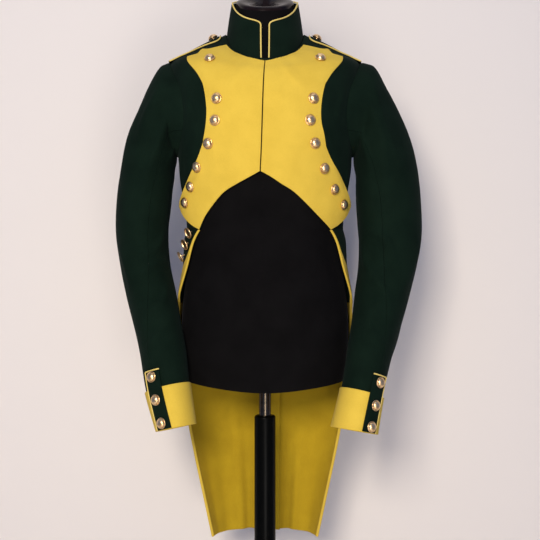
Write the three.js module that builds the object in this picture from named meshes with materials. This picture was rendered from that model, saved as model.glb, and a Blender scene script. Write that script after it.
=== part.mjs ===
// Light-cavalry tail coat with plastron lapels, standing on a limbless dress form.
// Millimetres, +Z up, -Y is the front, +X is the wearer's left.
// The origin is the centre of the stand's underside.

import * as THREE from 'three';

const { degToRad, lerp, clamp, smoothstep } = THREE.MathUtils;

// ---------------------------------------------------------------- driving dimensions

const CLOTH = 2;
const SEAM_GAP = 0.3;
const LAYER_GAP = 0.8;
const LINING = 1.2;
const PIPING_RADIUS = 1.7;
const PIPING_SIDES = 5;
const PIPING_GAP = 0.8;

const WAIST_HEIGHT = 1112;
const WAIST_GAP = 1.3;
const HEM_HEIGHT = 538;
const LINING_TOP = 980;
const SIDES = [{ name: 'left', sign: 1 }, { name: 'right', sign: -1 }];

// A table gives each row the names of its columns.
function table(columns, rows) {
  return rows.map((row) => Object.fromEntries(columns.map((column, i) => [column, row[i]])));
}

// Level sections of the body, from the form's lower edge to the neck hole. A section is a
// rounded oval: half is its half-width, front, mid and back are its depths, power its
// squareness. Its rim is at sideZ at the sides and swings to frontZ and backZ.
const BODY = table(
  ['sideZ', 'frontZ', 'backZ', 'half', 'front', 'mid', 'back', 'power', 'swing'],
  [
    [844, 831, 836, 146, -98, 8, 112, 2.2, 2],
    [880, 880, 880, 151, -102, 8, 120, 2.2, 2],
    [950, 950, 950, 152, -104, 8, 122, 2.2, 2],
    [1005, 1005, 1005, 147, -102, 6, 115, 2.2, 2],
    [1055, 1055, 1055, 139.5, -98, 4, 101, 2.2, 2],
    [1112, 1112, 1112, 138, -95, 2, 88, 2.2, 2],
    [1160, 1160, 1160, 142.5, -101, 1, 91, 2.2, 2],
    [1205, 1205, 1205, 149, -112, 0, 99, 2.25, 2],
    [1240, 1240, 1240, 153, -119, 0, 105, 2.3, 2],
    [1290, 1285, 1292, 156, -124, 0, 110, 2.35, 1.8],
    [1345, 1325, 1348, 161, -123, 2, 111, 2.35, 1.7],
    [1390, 1352, 1392, 167, -118, 4, 105, 2.2, 1.6],
    [1411, 1371, 1424, 165, -110, 5, 96, 2.1, 1.5],
    [1428, 1383, 1447, 134, -101, 3, 86, 2.05, 1.4],
    [1445, 1392, 1464, 102, -94, 0, 75, 2, 1.3],
    [1461, 1399, 1478, 69, -87, -2, 63, 2, 1.2],
  ],
);
const NECK_RING = BODY.length - 1;

// Sections of the tails from the waist seam to the hem. edge is the turn of the front edge.
const SKIRT = table(
  ['sideZ', 'half', 'front', 'mid', 'back', 'edge'],
  [
    [1112, 138, -95, 2, 88, 60.8],
    [1090, 143.5, -97, 3, 95, 65.5],
    [1045, 146, -101, 6, 112, 72.5],
    [1000, 153.5, -104, 10, 126, 81],
    [965, 157, -104, 13, 130.5, 94],
    [920, 160, -100, 19, 133, 98],
    [870, 160.5, -90, 26, 134, 99],
    [790, 152, -60, 40, 133, 100],
    [700, 134, -40, 52, 131, 98],
    [620, 117, -20, 58, 129, 98],
    [538, 99, 0, 62, 127, 98],
  ],
).map((row) => ({ ...row, frontZ: row.sideZ, backZ: row.sideZ, power: 2.2, swing: 2 }));

// Soft flutes that run down the tails, deepest at the hem.
const FLUTES = table(
  ['sign', 'turn', 'spread', 'depth'],
  [
    [-1, 157, 9, 9],
    [-1, 128, 10, 5],
    [1, 147, 8, 8],
    [1, 168, 7, 4],
    [1, 120, 9, 4],
  ],
);
const FLUTE_TOP = 960;
const VENT = { overlap: 30, inward: 6, top: 1108, bottom: 1040, reach: 30 };

// The yellow facing turned back along the skirt's front edge, by height and width.
const FACING = table(
  ['height', 'width'],
  [[1110, 3.5], [1086, 4.2], [1073, 5.2], [1059, 10], [1045, 24], [1000, 32], [800, 30], [538, 26]],
);

// The armhole, by the angle round it: 0 is the shoulder point, 90 its front.
const ARMHOLE = table(
  ['around', 'turn', 'height'],
  [
    [0, 92, 1408],
    [30, 78, 1392],
    [60, 67, 1362],
    [90, 62.5, 1325],
    [120, 65, 1286],
    [150, 75, 1254],
    [180, 89, 1240],
    [210, 103, 1249],
    [240, 114, 1272],
    [270, 120.5, 1310],
    [300, 119, 1352],
    [330, 108, 1390],
  ],
);
const ARMHOLE_MIDDLE = { turn: 91, height: 1325 };
const ARMHOLE_INSET = 0.94;
const ARMHOLE_SINK = 1.2;
const SIDE_BACK_AROUND = 250;

// Sleeve rings below the armhole: the outer and the inner point of each ring, the depth of
// its middle, half its depth from front to back, how far it leans forward, and the place of
// the front seam round it. The left sleeve hangs fuller by moreOut and moreIn, and its cuff
// lower by drop.
const SLEEVE = table(
  ['outX', 'outZ', 'inX', 'inZ', 'mid', 'halfDepth', 'lean', 'seam', 'moreOut', 'moreIn', 'drop'],
  [
    [185, 1404, 161, 1246, 2, 60, 0, 124, 8.5, 0, 0],
    [209, 1362, 162, 1234, 1, 62, 0, 122, 8.5, 0, 0],
    [226.5, 1320, 163.5, 1222, 0, 62, 0, 120, 10, 0, 0],
    [242.5, 1277, 165, 1208, -1, 61, 0, 118, 11.5, 0, 0],
    [253.5, 1232, 167, 1190, -2, 60, 0, 116, 12.5, -1, 0],
    [262, 1180, 171, 1160, -3, 59, 0, 113, 14, -3, 0],
    [264.5, 1110, 176, 1108, -4, 58, 0, 112, 14, -5, 0],
    [257, 1052, 172, 1052, -8, 57, 4, 106, 12.5, -2, 0],
    [243.5, 993, 161, 1000, -17, 55, 9, 92, 11, 1, 0],
    [228, 940, 150, 953, -37, 52, 13, 75, 8, 5, 0],
    [214, 890, 139, 903, -57, 49, 13, 60, 4, 5, 3],
    [201, 830, 132, 847, -76, 46, 11, 57, -2, 1, 9],
    [180, 767, 121, 779, -95, 42, 9, 57, 6, -6, 5],
  ],
);
const WRIST = SLEEVE.length;
const CUFF_TOP = WRIST - 1;
const CUFF_OUT = CLOTH + LAYER_GAP;
const FLAP = {
  width: 24, top: 11.58, bottom: 12.97, around: 63.5, swing: 2.5, out: 2 * (CLOTH + LAYER_GAP),
};

// The stand collar: three sections, a little smaller at the top.
const COLLAR = table(
  ['sideZ', 'frontZ', 'backZ', 'half', 'front', 'mid', 'back', 'power', 'swing'],
  [
    [1462, 1400, 1479, 66, -84, -2, 60, 2, 1.2],
    [1491, 1435, 1512, 62, -77.5, -2, 56, 2, 1.2],
    [1518, 1467, 1543, 57.5, -70, -2, 52, 2, 1.2],
  ],
);
const COLLAR_THICKNESS = 2.5;
const COLLAR_OPENING = { bottom: 5.8, top: 7.7, corner: 9 };

// Lapel outline as turns round the body and heights, from the neck to the waist point.
const LAPEL = {
  outer: [[66, 1193], [56, 1222], [48, 1254], [42.5, 1280], [41, 1306],
    [43, 1336], [50, 1371], [66, 1406.5]],
  bottomArc: [[9, 1197, 4], [19, 1186, 5], [31, 1172, 5], [43, 1150, 4], [52, 1131, 2.6]],
  waistPoint: [60.5, 1110],
  bottomSide: [[68, 1119], [75, 1134]],
  corner: [80, 1154],
  topNeck: [[20, 1399], [40, 1413], [58, 1430]],
  topInner: [[58, 1430], [62, 1422], [68, 1423]],
  topOuter: [[68, 1423], [63.3, 1412], [66, 1406.5]],
  centreTop: 1391,
  centreBottom: 1206,
  cornerLift: 9,
};
const CLOSURE_SLANT = 4;
const LAPEL_BUTTONS = {
  left: [[47, 1396], [34.5, 1326], [32.5, 1290], [37, 1253], [46.5, 1213], [58, 1180], [68, 1155]],
  right: [[46.5, 1395], [34.5, 1326], [36, 1290], [42, 1253], [53.5, 1216], [62, 1185], [69, 1159]],
};
const WAIST_BUTTONS = table(
  ['turn', 'height', 'droop'],
  [[69.5, 1104, 38], [71.5, 1086.5, 26], [77.5, 1065.5, 28]],
);

const STRAP = { start: 12.05, end: 14.6, halfWidth: 23, tip: 0.82, tipWidth: 5 };

const DOMED_BUTTON = { radius: 9, height: 7.2, rim: 1.8, foot: 2.5, shank: 1.2 };
const FLAT_BUTTON = { radius: 10, rim: 2.6, foot: 1.5, shank: 7 };
const BUTTON_SEGMENTS = 9;

const FORM_EASE = { shoulder: 2.8, below: 2 };
const FORM_FLOOR = { height: 836, radius: 20 };
const NECK = table(
  ['sideZ', 'frontZ', 'backZ', 'half', 'front', 'mid', 'back', 'power', 'swing'],
  [
    [1461, 1400.5, 1479, 62, -79.5, -2, 55.5, 2, 1.2],
    [1486, 1440, 1507, 56, -70, -2, 49, 2, 1.2],
    [1502, 1470, 1526, 53, -63, -1, 47, 2, 1.2],
    [1517, 1490, 1542, 52, -59, 0, 46, 2, 1.2],
  ],
);
const NECK_CAP_RISE = 9;
const ROD_RADIUS = 11;
const POLE = { radius: 19, top: 779, rim: 4 };
const FOOT = { radius: 190, thickness: 14, edge: 4 };

// ---------------------------------------------------------------- finishes

function finish(colour, roughness, metalness = 0) {
  return new THREE.MeshStandardMaterial({ color: colour, roughness, metalness });
}
const greenWool = () => finish(0x16271f, 0.9);
const yellowWool = () => finish(0xe4bd3c, 0.85);
const paleCord = () => finish(0xe9d87a, 0.7);
const gilt = () => finish(0xd9c48a, 0.25, 1);

// ---------------------------------------------------------------- surfaces

// Smooth reading of a table between its rows, column by column.
function between(rows, place) {
  const last = rows.length - 1;
  const low = clamp(Math.floor(place), 0, last - 1);
  const part = clamp(place, 0, last) - low;
  const [a, b, c, d] = [-1, 0, 1, 2].map((step) => rows[clamp(low + step, 0, last)]);
  const read = (key) => b[key] + 0.5 * part * (c[key] - a[key]
    + part * (2 * a[key] - 5 * b[key] + 4 * c[key] - d[key]
    + part * (3 * (b[key] - c[key]) + d[key] - a[key])));
  return Object.fromEntries(Object.keys(b).map((key) => [key, read(key)]));
}

// The point of a section at a turn: 0 is the front, 90 the wearer's left, 180 the back.
function onSection(section, turn) {
  const across = Math.sin(degToRad(turn));
  const along = Math.cos(degToRad(turn));
  const isFront = along > 0;
  const depth = isFront ? section.mid - section.front : section.back - section.mid;
  const reach = (Math.abs(across / section.half) ** section.power
    + Math.abs(along / depth) ** section.power) ** (-1 / section.power);
  const endZ = isFront ? section.frontZ : section.backZ;
  const height = lerp(section.sideZ, endZ, Math.abs(along) ** section.swing);
  return new THREE.Vector3(reach * across, section.mid - reach * along, height);
}

// A surface gives the point and the normal at two parameters. A negative stepU turns the
// normals round, where the second parameter runs down.
function surface(pointAt, stepU, stepV, lastV) {
  return (u, v) => {
    const middle = clamp(v, stepV, lastV - stepV);
    const alongU = pointAt(u + stepU, middle).sub(pointAt(u - stepU, middle));
    const alongV = pointAt(u, middle + stepV).sub(pointAt(u, middle - stepV));
    return { point: pointAt(u, v), normal: alongU.cross(alongV).normalize() };
  };
}
const bodyPoint = (turn, place) => onSection(between(BODY, place), turn);
const bodySurface = surface(bodyPoint, 0.05, 0.01, NECK_RING);

// The place on the body table that has a given height at a given turn.
function placeAt(turn, height) {
  let low = 0;
  let high = NECK_RING;
  for (let i = 0; i < 40; i += 1) {
    const middle = (low + high) / 2;
    if (bodyPoint(turn, middle).z < height) low = middle;
    else high = middle;
  }
  return (low + high) / 2;
}
const onBody = ([turn, height]) => new THREE.Vector2(turn, placeAt(turn, height));
const aboveBody = (turn, height, out) => {
  const { point, normal } = bodySurface(turn, placeAt(turn, height));
  return { point: point.addScaledVector(normal, out), normal };
};

// ---------------------------------------------------------------- walls and tubes

// Turns grids of surface points into one closed wall: an inner skin, an outer skin, and a
// rim along every edge that only one cell uses. A negative sign mirrors it across the middle.
function wall(grids, inner, outer, sign = 1) {
  const skins = [];
  const indexOf = new Map();
  const cells = [];
  const indexFor = ({ point, normal }) => {
    const key = point.toArray().map((value) => value.toFixed(3)).join();
    if (!indexOf.has(key)) {
      indexOf.set(key, skins.length);
      skins.push([inner, outer].map((out) => point.clone().addScaledVector(normal, out)));
    }
    return indexOf.get(key);
  };
  grids.forEach((grid) => {
    const rows = facesOut(grid) ? grid : [...grid].reverse();
    const numbers = rows.map((row) => row.map(indexFor));
    for (let j = 1; j < numbers.length; j += 1) {
      for (let i = 1; i < numbers[j].length; i += 1) {
        const [a, b] = [numbers[j - 1][i - 1], numbers[j - 1][i]];
        const [c, d] = [numbers[j][i], numbers[j][i - 1]];
        cells.push([a, b, c], [a, c, d]);
      }
    }
  });
  const whole = cells.filter(([a, b, c]) => a !== b && b !== c && c !== a);
  const edges = new Set(whole.flatMap(([a, b, c]) => [`${a},${b}`, `${b},${c}`, `${c},${a}`]));
  const faces = [];
  whole.forEach(([a, b, c]) => {
    faces.push([skins[a][1], skins[b][1], skins[c][1]], [skins[c][0], skins[b][0], skins[a][0]]);
    [[a, b], [b, c], [c, a]].filter(([p, q]) => !edges.has(`${q},${p}`)).forEach(([p, q]) => {
      faces.push([skins[q][1], skins[p][1], skins[p][0]], [skins[q][1], skins[p][0], skins[q][0]]);
    });
  });
  return facesToGeometry(faces, sign);
}

// Whether a grid's middle cell, taken row by row, faces along its normals.
function facesOut(grid) {
  const j = Math.floor(grid.length / 2);
  const i = Math.floor(grid[0].length / 2);
  const alongRow = grid[j][i].point.clone().sub(grid[j][i - 1].point);
  const alongColumn = grid[j][i].point.clone().sub(grid[j - 1][i].point);
  return alongRow.cross(alongColumn).dot(grid[j][i].normal) > 0;
}

function facesToGeometry(faces, sign) {
  const ordered = sign > 0 ? faces : faces.map((face) => [face[2], face[1], face[0]]);
  const values = ordered.flatMap((face) => face.flatMap((p) => [p.x * sign, p.y, p.z]));
  const geometry = new THREE.BufferGeometry();
  geometry.setAttribute('position', new THREE.Float32BufferAttribute(values, 3));
  geometry.computeVertexNormals();
  return geometry;
}

// Points spread evenly along smooth stretches; each stretch is [outline points, count].
function edge(...stretches) {
  const spacing = 20;
  return stretches.flatMap(([points, count], index) => {
    const curve = new THREE.SplineCurve(points.map((p) => new THREE.Vector2(p.x, p.y * spacing)));
    const spread = curve.getSpacedPoints(count).map((p) => new THREE.Vector2(p.x, p.y / spacing));
    return index === 0 ? spread : spread.slice(1);
  });
}

// A patch between four edges that share their corners, filled by blending the edges.
function patch(bottom, top, left, right) {
  const columns = bottom.length - 1;
  const rows = left.length - 1;
  return left.map((leftPoint, j) => bottom.map((bottomPoint, i) => {
    const [u, v] = [i / columns, j / rows];
    const acrossRow = leftPoint.clone().lerp(right[j], u);
    const upColumn = bottomPoint.clone().lerp(top[i], v);
    const corners = bottom[0].clone().lerp(bottom[columns], u)
      .lerp(top[0].clone().lerp(top[columns], u), v);
    return acrossRow.add(upColumn).sub(corners);
  }));
}
const patchOnBody = (...edges) => patch(...edges).map((row) => row.map((p) => bodySurface(p.x, p.y)));

// A round cord along a list of points.
function cord(points, radius, steps) {
  const path = new THREE.CatmullRomCurve3(points, false, 'centripetal');
  const section = new THREE.Shape();
  for (let i = 0; i < PIPING_SIDES; i += 1) {
    const angle = (2 * Math.PI * i) / PIPING_SIDES;
    const corner = [radius * Math.cos(angle), radius * Math.sin(angle)];
    if (i === 0) section.moveTo(...corner);
    else section.lineTo(...corner);
  }
  section.closePath();
  return new THREE.ExtrudeGeometry(section, { steps, extrudePath: path, bevelEnabled: false });
}

// A cord sewn along a cloth edge: each point is moved off the edge, square to it, and mitred
// at corners. The edge runs with the cloth on its left as seen from outside.
function piping(cells, out, sign, steps) {
  const away = PIPING_RADIUS + PIPING_GAP;
  const points = cells.map(({ point, normal }) => point.clone().addScaledVector(normal, out));
  const beside = (from, to, normal) => to.clone().sub(from).cross(normal).normalize();
  const route = points.map((point, i) => {
    const { normal } = cells[i];
    const before = beside(points[Math.max(i - 1, 0)], points[Math.max(i, 1)], normal);
    const last = points.length - 1;
    const after = beside(points[Math.min(i, last - 1)], points[Math.min(i + 1, last)], normal);
    const mitre = before.clone().add(after).divideScalar(1 + before.dot(after));
    return mirrored(point.clone().addScaledVector(mitre, away), sign);
  });
  return cord(route, PIPING_RADIUS, steps);
}

const mirrored = (vector, sign) => new THREE.Vector3(vector.x * sign, vector.y, vector.z);

const coat = new THREE.Group();
function add(name, geometry, material) {
  const mesh = new THREE.Mesh(geometry, material);
  mesh.name = name;
  coat.add(mesh);
  return mesh;
}

// ---------------------------------------------------------------- fronts and backs

function armholeAt(around) {
  const steps = ARMHOLE.length;
  const wrapped = [-1, 0, 1, 2].map((step) => {
    const index = Math.floor(around / 30) + step;
    return ARMHOLE[((index % steps) + steps) % steps];
  });
  const { turn, height } = between(wrapped, 1 + (around / 30 - Math.floor(around / 30)));
  return [turn, height];
}
function armholeEdge(from, to, count) {
  const points = [];
  for (let i = 0; i <= count; i += 1) points.push(onBody(armholeAt(lerp(from, to, i / count))));
  return points;
}
const neckEdge = (from, to) => [0, 0.25, 0.5, 0.75, 1]
  .map((part) => new THREE.Vector2(lerp(from, to, part), NECK_RING));

// The line where the two fronts meet leans a little towards the wearer's right, and the
// lower arc is swung with it.
function closure(height, sign) {
  const drop = clamp((LAPEL.centreTop - height) / (LAPEL.centreTop - LAPEL.centreBottom), 0, 1);
  return SEAM_GAP / 3 - sign * CLOSURE_SLANT * drop;
}
const lowerArc = (sign, rise) => LAPEL.bottomArc
  .map(([turn, height, swing]) => onBody([turn - sign * swing, height + rise]));

const SHOULDER_SEAM_TURN = 95;
const UNDERARM_TURN = 89;
const SEAM_TURN = 0.12;
const sideBackSeam = (shift) => [[148, WAIST_HEIGHT], [141, 1160], [132, 1215]]
  .map(([turn, height]) => onBody([turn + shift, height]));

function frontPanel(sign) {
  const arcTop = 3;
  const centreBottom = LAPEL.centreBottom + arcTop;
  const bottomCentre = onBody([closure(centreBottom, sign), centreBottom]);
  const topCentre = new THREE.Vector2(closure(LAPEL.centreTop, sign), NECK_RING);
  const waistPoint = onBody([60, WAIST_HEIGHT]);
  const underarmWaist = onBody([UNDERARM_TURN, WAIST_HEIGHT]);
  const shoulderEnd = onBody(armholeAt(0)).add(new THREE.Vector2(-SEAM_TURN, 0));
  const neckEnd = new THREE.Vector2(SHOULDER_SEAM_TURN - SEAM_TURN, NECK_RING);
  const arc = lowerArc(sign, arcTop);
  const underarm = [underarmWaist, onBody([UNDERARM_TURN, 1180]), onBody(armholeAt(180))];
  const chest = patchOnBody(
    edge([[bottomCentre, ...arc, waistPoint], 7], [[waistPoint, underarmWaist], 4]),
    edge([[topCentre, ...neckEdge(topCentre.x, neckEnd.x).slice(1)], 11]),
    edge([[bottomCentre, onBody([closure(1300, sign), 1300]), topCentre], 15]),
    edge([underarm, 4]).concat(
      armholeEdge(180, 0, 8).slice(1, -1),
      edge([[shoulderEnd, neckEnd], 3]),
    ),
  );
  const sideBackTop = onBody(armholeAt(SIDE_BACK_AROUND)).add(new THREE.Vector2(-SEAM_TURN, 0));
  const side = patchOnBody(
    edge([[underarmWaist, onBody([148 - SEAM_TURN, WAIST_HEIGHT])], 6]),
    armholeEdge(180, SIDE_BACK_AROUND, 6).slice(0, -1).concat([sideBackTop]),
    edge([underarm, 4]),
    edge([[...sideBackSeam(-SEAM_TURN), sideBackTop], 4]),
  );
  return wall([chest, side], 0, CLOTH, sign);
}

function backPanel(sign) {
  const sideBackTop = onBody(armholeAt(SIDE_BACK_AROUND)).add(new THREE.Vector2(SEAM_TURN, 0));
  const shoulderEnd = onBody(armholeAt(360)).add(new THREE.Vector2(SEAM_TURN, 0));
  const neckEnd = new THREE.Vector2(SHOULDER_SEAM_TURN + SEAM_TURN, NECK_RING);
  const middle = 180 - SEAM_TURN;
  const neckMiddle = new THREE.Vector2(middle, NECK_RING);
  const seam = sideBackSeam(SEAM_TURN);
  const waistMiddle = onBody([middle, WAIST_HEIGHT]);
  const panel = patchOnBody(
    edge([[seam[0], waistMiddle], 8]),
    edge([neckEdge(neckEnd.x, middle), 8]),
    edge([[...seam, sideBackTop], 4]).concat(
      armholeEdge(SIDE_BACK_AROUND, 360, 6).slice(1, -1),
      edge([[shoulderEnd, neckEnd], 3]),
    ),
    edge([[waistMiddle, onBody([middle, 1240]), onBody([middle, 1370]), neckMiddle], 13]),
  );
  return wall([panel], 0, CLOTH, sign);
}

SIDES.forEach(({ name, sign }) => {
  add(`front_${name}`, frontPanel(sign), greenWool());
  add(`back_${name}`, backPanel(sign), greenWool());
});

// ---------------------------------------------------------------- lapels

const LAPEL_OUT = CLOTH + LAYER_GAP;

// The lower outer corner of a lapel stands off the body.
function cornerLift({ point }) {
  const away = Math.hypot(point.x - 139, point.z - 1160, point.y + 25);
  return LAPEL.cornerLift * (1 - smoothstep(away, 0, 75));
}

function lapelGrid(sign) {
  const centreAt = (height) => onBody([closure(height, sign), height]);
  const [bottomCentre, topCentre] = [centreAt(LAPEL.centreBottom), centreAt(LAPEL.centreTop)];
  const outline = (points) => points.map(onBody);
  const [waistPoint, corner] = outline([LAPEL.waistPoint, LAPEL.corner]);
  const grid = patchOnBody(
    edge(
      [[bottomCentre, ...lowerArc(sign, 0), waistPoint], 7],
      [[waistPoint, ...outline(LAPEL.bottomSide), corner], 3],
    ),
    edge(
      [[topCentre, ...outline(LAPEL.topNeck)], 6],
      [outline(LAPEL.topInner), 2],
      [outline(LAPEL.topOuter), 2],
    ),
    edge([[bottomCentre, centreAt(1300), topCentre], 15]),
    edge([[corner, ...outline(LAPEL.outer)], 15]),
  );
  return grid.map((row) => row.map((cell) => ({
    point: cell.point.clone().addScaledVector(cell.normal, LAPEL_OUT + cornerLift(cell)),
    normal: cell.normal,
  })));
}

SIDES.forEach(({ name, sign }) => {
  add(`lapel_${name}`, wall([lapelGrid(sign)], 0, CLOTH, sign), yellowWool());
});

// ---------------------------------------------------------------- sleeves

function armholeRing(around) {
  const [turn, height] = armholeAt(around);
  const inset = lerp(ARMHOLE_MIDDLE.turn, turn, ARMHOLE_INSET);
  return aboveBody(inset, lerp(ARMHOLE_MIDDLE.height, height, ARMHOLE_INSET), -ARMHOLE_SINK).point;
}

function ringPoint(sign, index, around) {
  if (index <= 0) return armholeRing(around);
  const ring = SLEEVE[Math.min(index, WRIST) - 1];
  const isLeft = sign > 0 ? 1 : 0;
  const drop = isLeft * ring.drop;
  const outer = new THREE.Vector3(ring.outX + isLeft * ring.moreOut, ring.mid, ring.outZ - drop);
  const inner = new THREE.Vector3(ring.inX + isLeft * ring.moreIn, ring.mid, ring.inZ - drop);
  const lean = degToRad(ring.lean);
  const forward = new THREE.Vector3(0, -Math.cos(lean), Math.sin(lean));
  return inner.lerp(outer, (1 + Math.cos(degToRad(around))) / 2)
    .addScaledVector(forward, ring.halfDepth * Math.sin(degToRad(around)));
}

// Around the sleeve: 0 is the outside of the arm, 90 the front, 180 the inside.
function sleevePoint(sign, around, place) {
  const low = clamp(Math.floor(place), 0, WRIST - 1);
  const rings = [-1, 0, 1, 2].map((step) => ringPoint(sign, clamp(low + step, 0, WRIST), around));
  const { x, y, z } = between(
    rings.map((p) => ({ x: p.x, y: p.y, z: p.z })),
    1 + clamp(place - low, 0, 1),
  );
  return new THREE.Vector3(x, y, z);
}
const sleeveOf = (sign) => surface((around, place) => sleevePoint(sign, around, place), 0.5, 0.02, WRIST);

function seamAt(place) {
  return between(SLEEVE, clamp(place - 1, 0, SLEEVE.length - 1)).seam;
}

const SLEEVE_PLACES = [0, 0.5, 1, 1.5, 2, 3, 4, 5, 6, 7, 8, 9, 10, 11, CUFF_TOP, CUFF_TOP + 0.12];

// One piece of the sleeve between its two seams; share is the part of the turn it covers.
function sleevePiece(sign, columns, share, isUpper) {
  const seamShift = 0.35;
  const sleeveSurface = sleeveOf(sign);
  const grid = SLEEVE_PLACES.map((place) => {
    const start = seamAt(place) - (isUpper ? 360 * share : 0) + seamShift;
    const end = start + 360 * share - 2 * seamShift;
    const row = [];
    for (let i = 0; i <= columns; i += 1) {
      row.push(sleeveSurface(lerp(start, end, i / columns), place));
    }
    return row;
  });
  return wall([grid], 0, CLOTH, sign);
}

const UPPER_SHARE = 0.54;
SIDES.forEach(({ name, sign }) => {
  add(`sleeve_upper_${name}`, sleevePiece(sign, 11, UPPER_SHARE, true), greenWool());
  add(`sleeve_under_${name}`, sleevePiece(sign, 9, 1 - UPPER_SHARE, false), greenWool());
});

// ---------------------------------------------------------------- cuffs

const flapAround = (sign) => FLAP.around - sign * FLAP.swing;

function cuff(sign) {
  const columns = 22;
  const sleeveSurface = sleeveOf(sign);
  const grid = [0, 0.25, 0.5, 0.75, 1].map((part) => {
    const row = [];
    for (let i = 0; i <= columns; i += 1) {
      const around = flapAround(sign) + (360 * (i % columns)) / columns;
      row.push(sleeveSurface(around, lerp(CUFF_TOP, WRIST, part)));
    }
    return row;
  });
  return wall([grid], CUFF_OUT, CUFF_OUT + CLOTH, sign);
}

// The flap over the cuff: part runs from its top to its bottom, across from -1 to 1.
function flapPoint(sign, part, across) {
  const place = lerp(FLAP.top, FLAP.bottom, part);
  const around = flapAround(sign);
  const step = sleevePoint(sign, around, place).distanceTo(sleevePoint(sign, around - 1, place));
  return sleeveOf(sign)(around - (across * FLAP.width) / 2 / step, place);
}
const FLAP_PARTS = [0, 0.2, 0.4, 0.6, 0.8, 1];
const FLAP_ACROSS = [-1, -0.5, 0, 0.5, 1];

function cuffFlap(sign) {
  const grid = FLAP_PARTS.map((part) => FLAP_ACROSS.map((across) => flapPoint(sign, part, across)));
  return wall([grid], FLAP.out, FLAP.out + CLOTH, sign);
}

// Cord along the flap's top and down its rear edge.
function flapPiping(sign) {
  const cells = [
    ...FLAP_ACROSS.map((across) => flapPoint(sign, 0, across)),
    ...FLAP_PARTS.slice(1).map((part) => flapPoint(sign, part, 1)),
  ];
  return piping(cells.reverse(), FLAP.out + CLOTH / 2, sign, 16);
}

SIDES.forEach(({ name, sign }) => {
  add(`cuff_${name}`, cuff(sign), yellowWool());
  add(`cuff_flap_${name}`, cuffFlap(sign), greenWool());
  add(`cuff_flap_piping_${name}`, flapPiping(sign), paleCord());
});

// ---------------------------------------------------------------- collar

const COLLAR_TOP = COLLAR.length - 1;
const collarPoint = (turn, place) => onSection(between(COLLAR, place), turn);
const collarSurface = surface(collarPoint, 0.05, 0.01, COLLAR_TOP);

// How far the collar's upper edge drops near its two rounded front corners.
function collarTopAt(part) {
  const corner = 0.045;
  const away = Math.min(part, 1 - part);
  const drop = away < corner ? 1 - Math.sqrt(1 - (1 - away / corner) ** 2) : 0;
  return COLLAR_TOP * (1 - (drop * COLLAR_OPENING.corner) / 66);
}
function collarTurn(part, place) {
  const opening = lerp(COLLAR_OPENING.bottom, COLLAR_OPENING.top, place / COLLAR_TOP);
  return lerp(opening, 360 - opening, part);
}
const COLLAR_PARTS = [0, 0.012, 0.03, 0.06, 0.11, 0.17, 0.23, 0.29, 0.35, 0.41, 0.47]
  .flatMap((part, i, all) => [part, 1 - part]).sort((a, b) => a - b);

function collar() {
  const grid = [0, 0.33, 0.67, 1].map((up) => COLLAR_PARTS.map((part) => {
    const place = up * collarTopAt(part);
    return collarSurface(collarTurn(part, place), place);
  }));
  return wall([grid], 0, COLLAR_THICKNESS);
}

function collarPiping() {
  const fronts = [0.25, 0.7, 1.1, 1.5];
  const cells = [
    ...fronts.map((place) => collarSurface(collarTurn(0, place), place)),
    ...COLLAR_PARTS.map((part) => collarSurface(collarTurn(part, collarTopAt(part)), collarTopAt(part))),
    ...fronts.toReversed().map((place) => collarSurface(collarTurn(1, place), place)),
  ];
  return piping(cells.reverse(), COLLAR_THICKNESS / 2, 1, 64);
}

add('collar', collar(), greenWool());
add('collar_piping', collarPiping(), paleCord());

// ---------------------------------------------------------------- shoulder straps

// Along a strap: 0 at the armhole, 1 at the collar end. Across: -1 front, 1 rear.
function strapPoint(along, across) {
  const place = lerp(STRAP.start, STRAP.end, along);
  const round = clamp((along - STRAP.tip) / (1 - STRAP.tip), 0, 1);
  const half = lerp(STRAP.tipWidth, STRAP.halfWidth, Math.sqrt(1 - round ** 2));
  const reach = bodyPoint(90, place).x;
  return bodySurface(90 + THREE.MathUtils.radToDeg(Math.atan((across * half) / reach)), place);
}
const STRAP_OUT = CLOTH + LAYER_GAP;
const STRAP_ALONG = [0, 0.12, 0.26, 0.4, 0.54, 0.68, 0.82, 0.9, 0.96, 1];

function strap(sign) {
  const grid = STRAP_ALONG.map((along) => [-1, -0.5, 0, 0.5, 1].map((across) => strapPoint(along, across)));
  return wall([grid], STRAP_OUT, STRAP_OUT + CLOTH, sign);
}

function strapPiping(sign) {
  const front = STRAP_ALONG.map((along) => strapPoint(along, -1));
  const rear = STRAP_ALONG.map((along) => strapPoint(along, 1));
  const cells = [...rear, strapPoint(1, 0), ...front.reverse()];
  return piping(cells, STRAP_OUT + CLOTH / 2 + PIPING_GAP, sign, 30);
}

SIDES.forEach(({ name, sign }) => {
  add(`shoulder_strap_${name}`, strap(sign), greenWool());
  add(`strap_piping_${name}`, strapPiping(sign), paleCord());
});

// ---------------------------------------------------------------- tails

function placeOfHeight(height) {
  const above = SKIRT.findIndex((row) => row.sideZ <= height);
  if (above <= 0) return 0;
  const [upper, lower] = [SKIRT[above - 1].sideZ, SKIRT[above].sideZ];
  return above - 1 + (upper - height) / (upper - lower);
}

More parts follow.
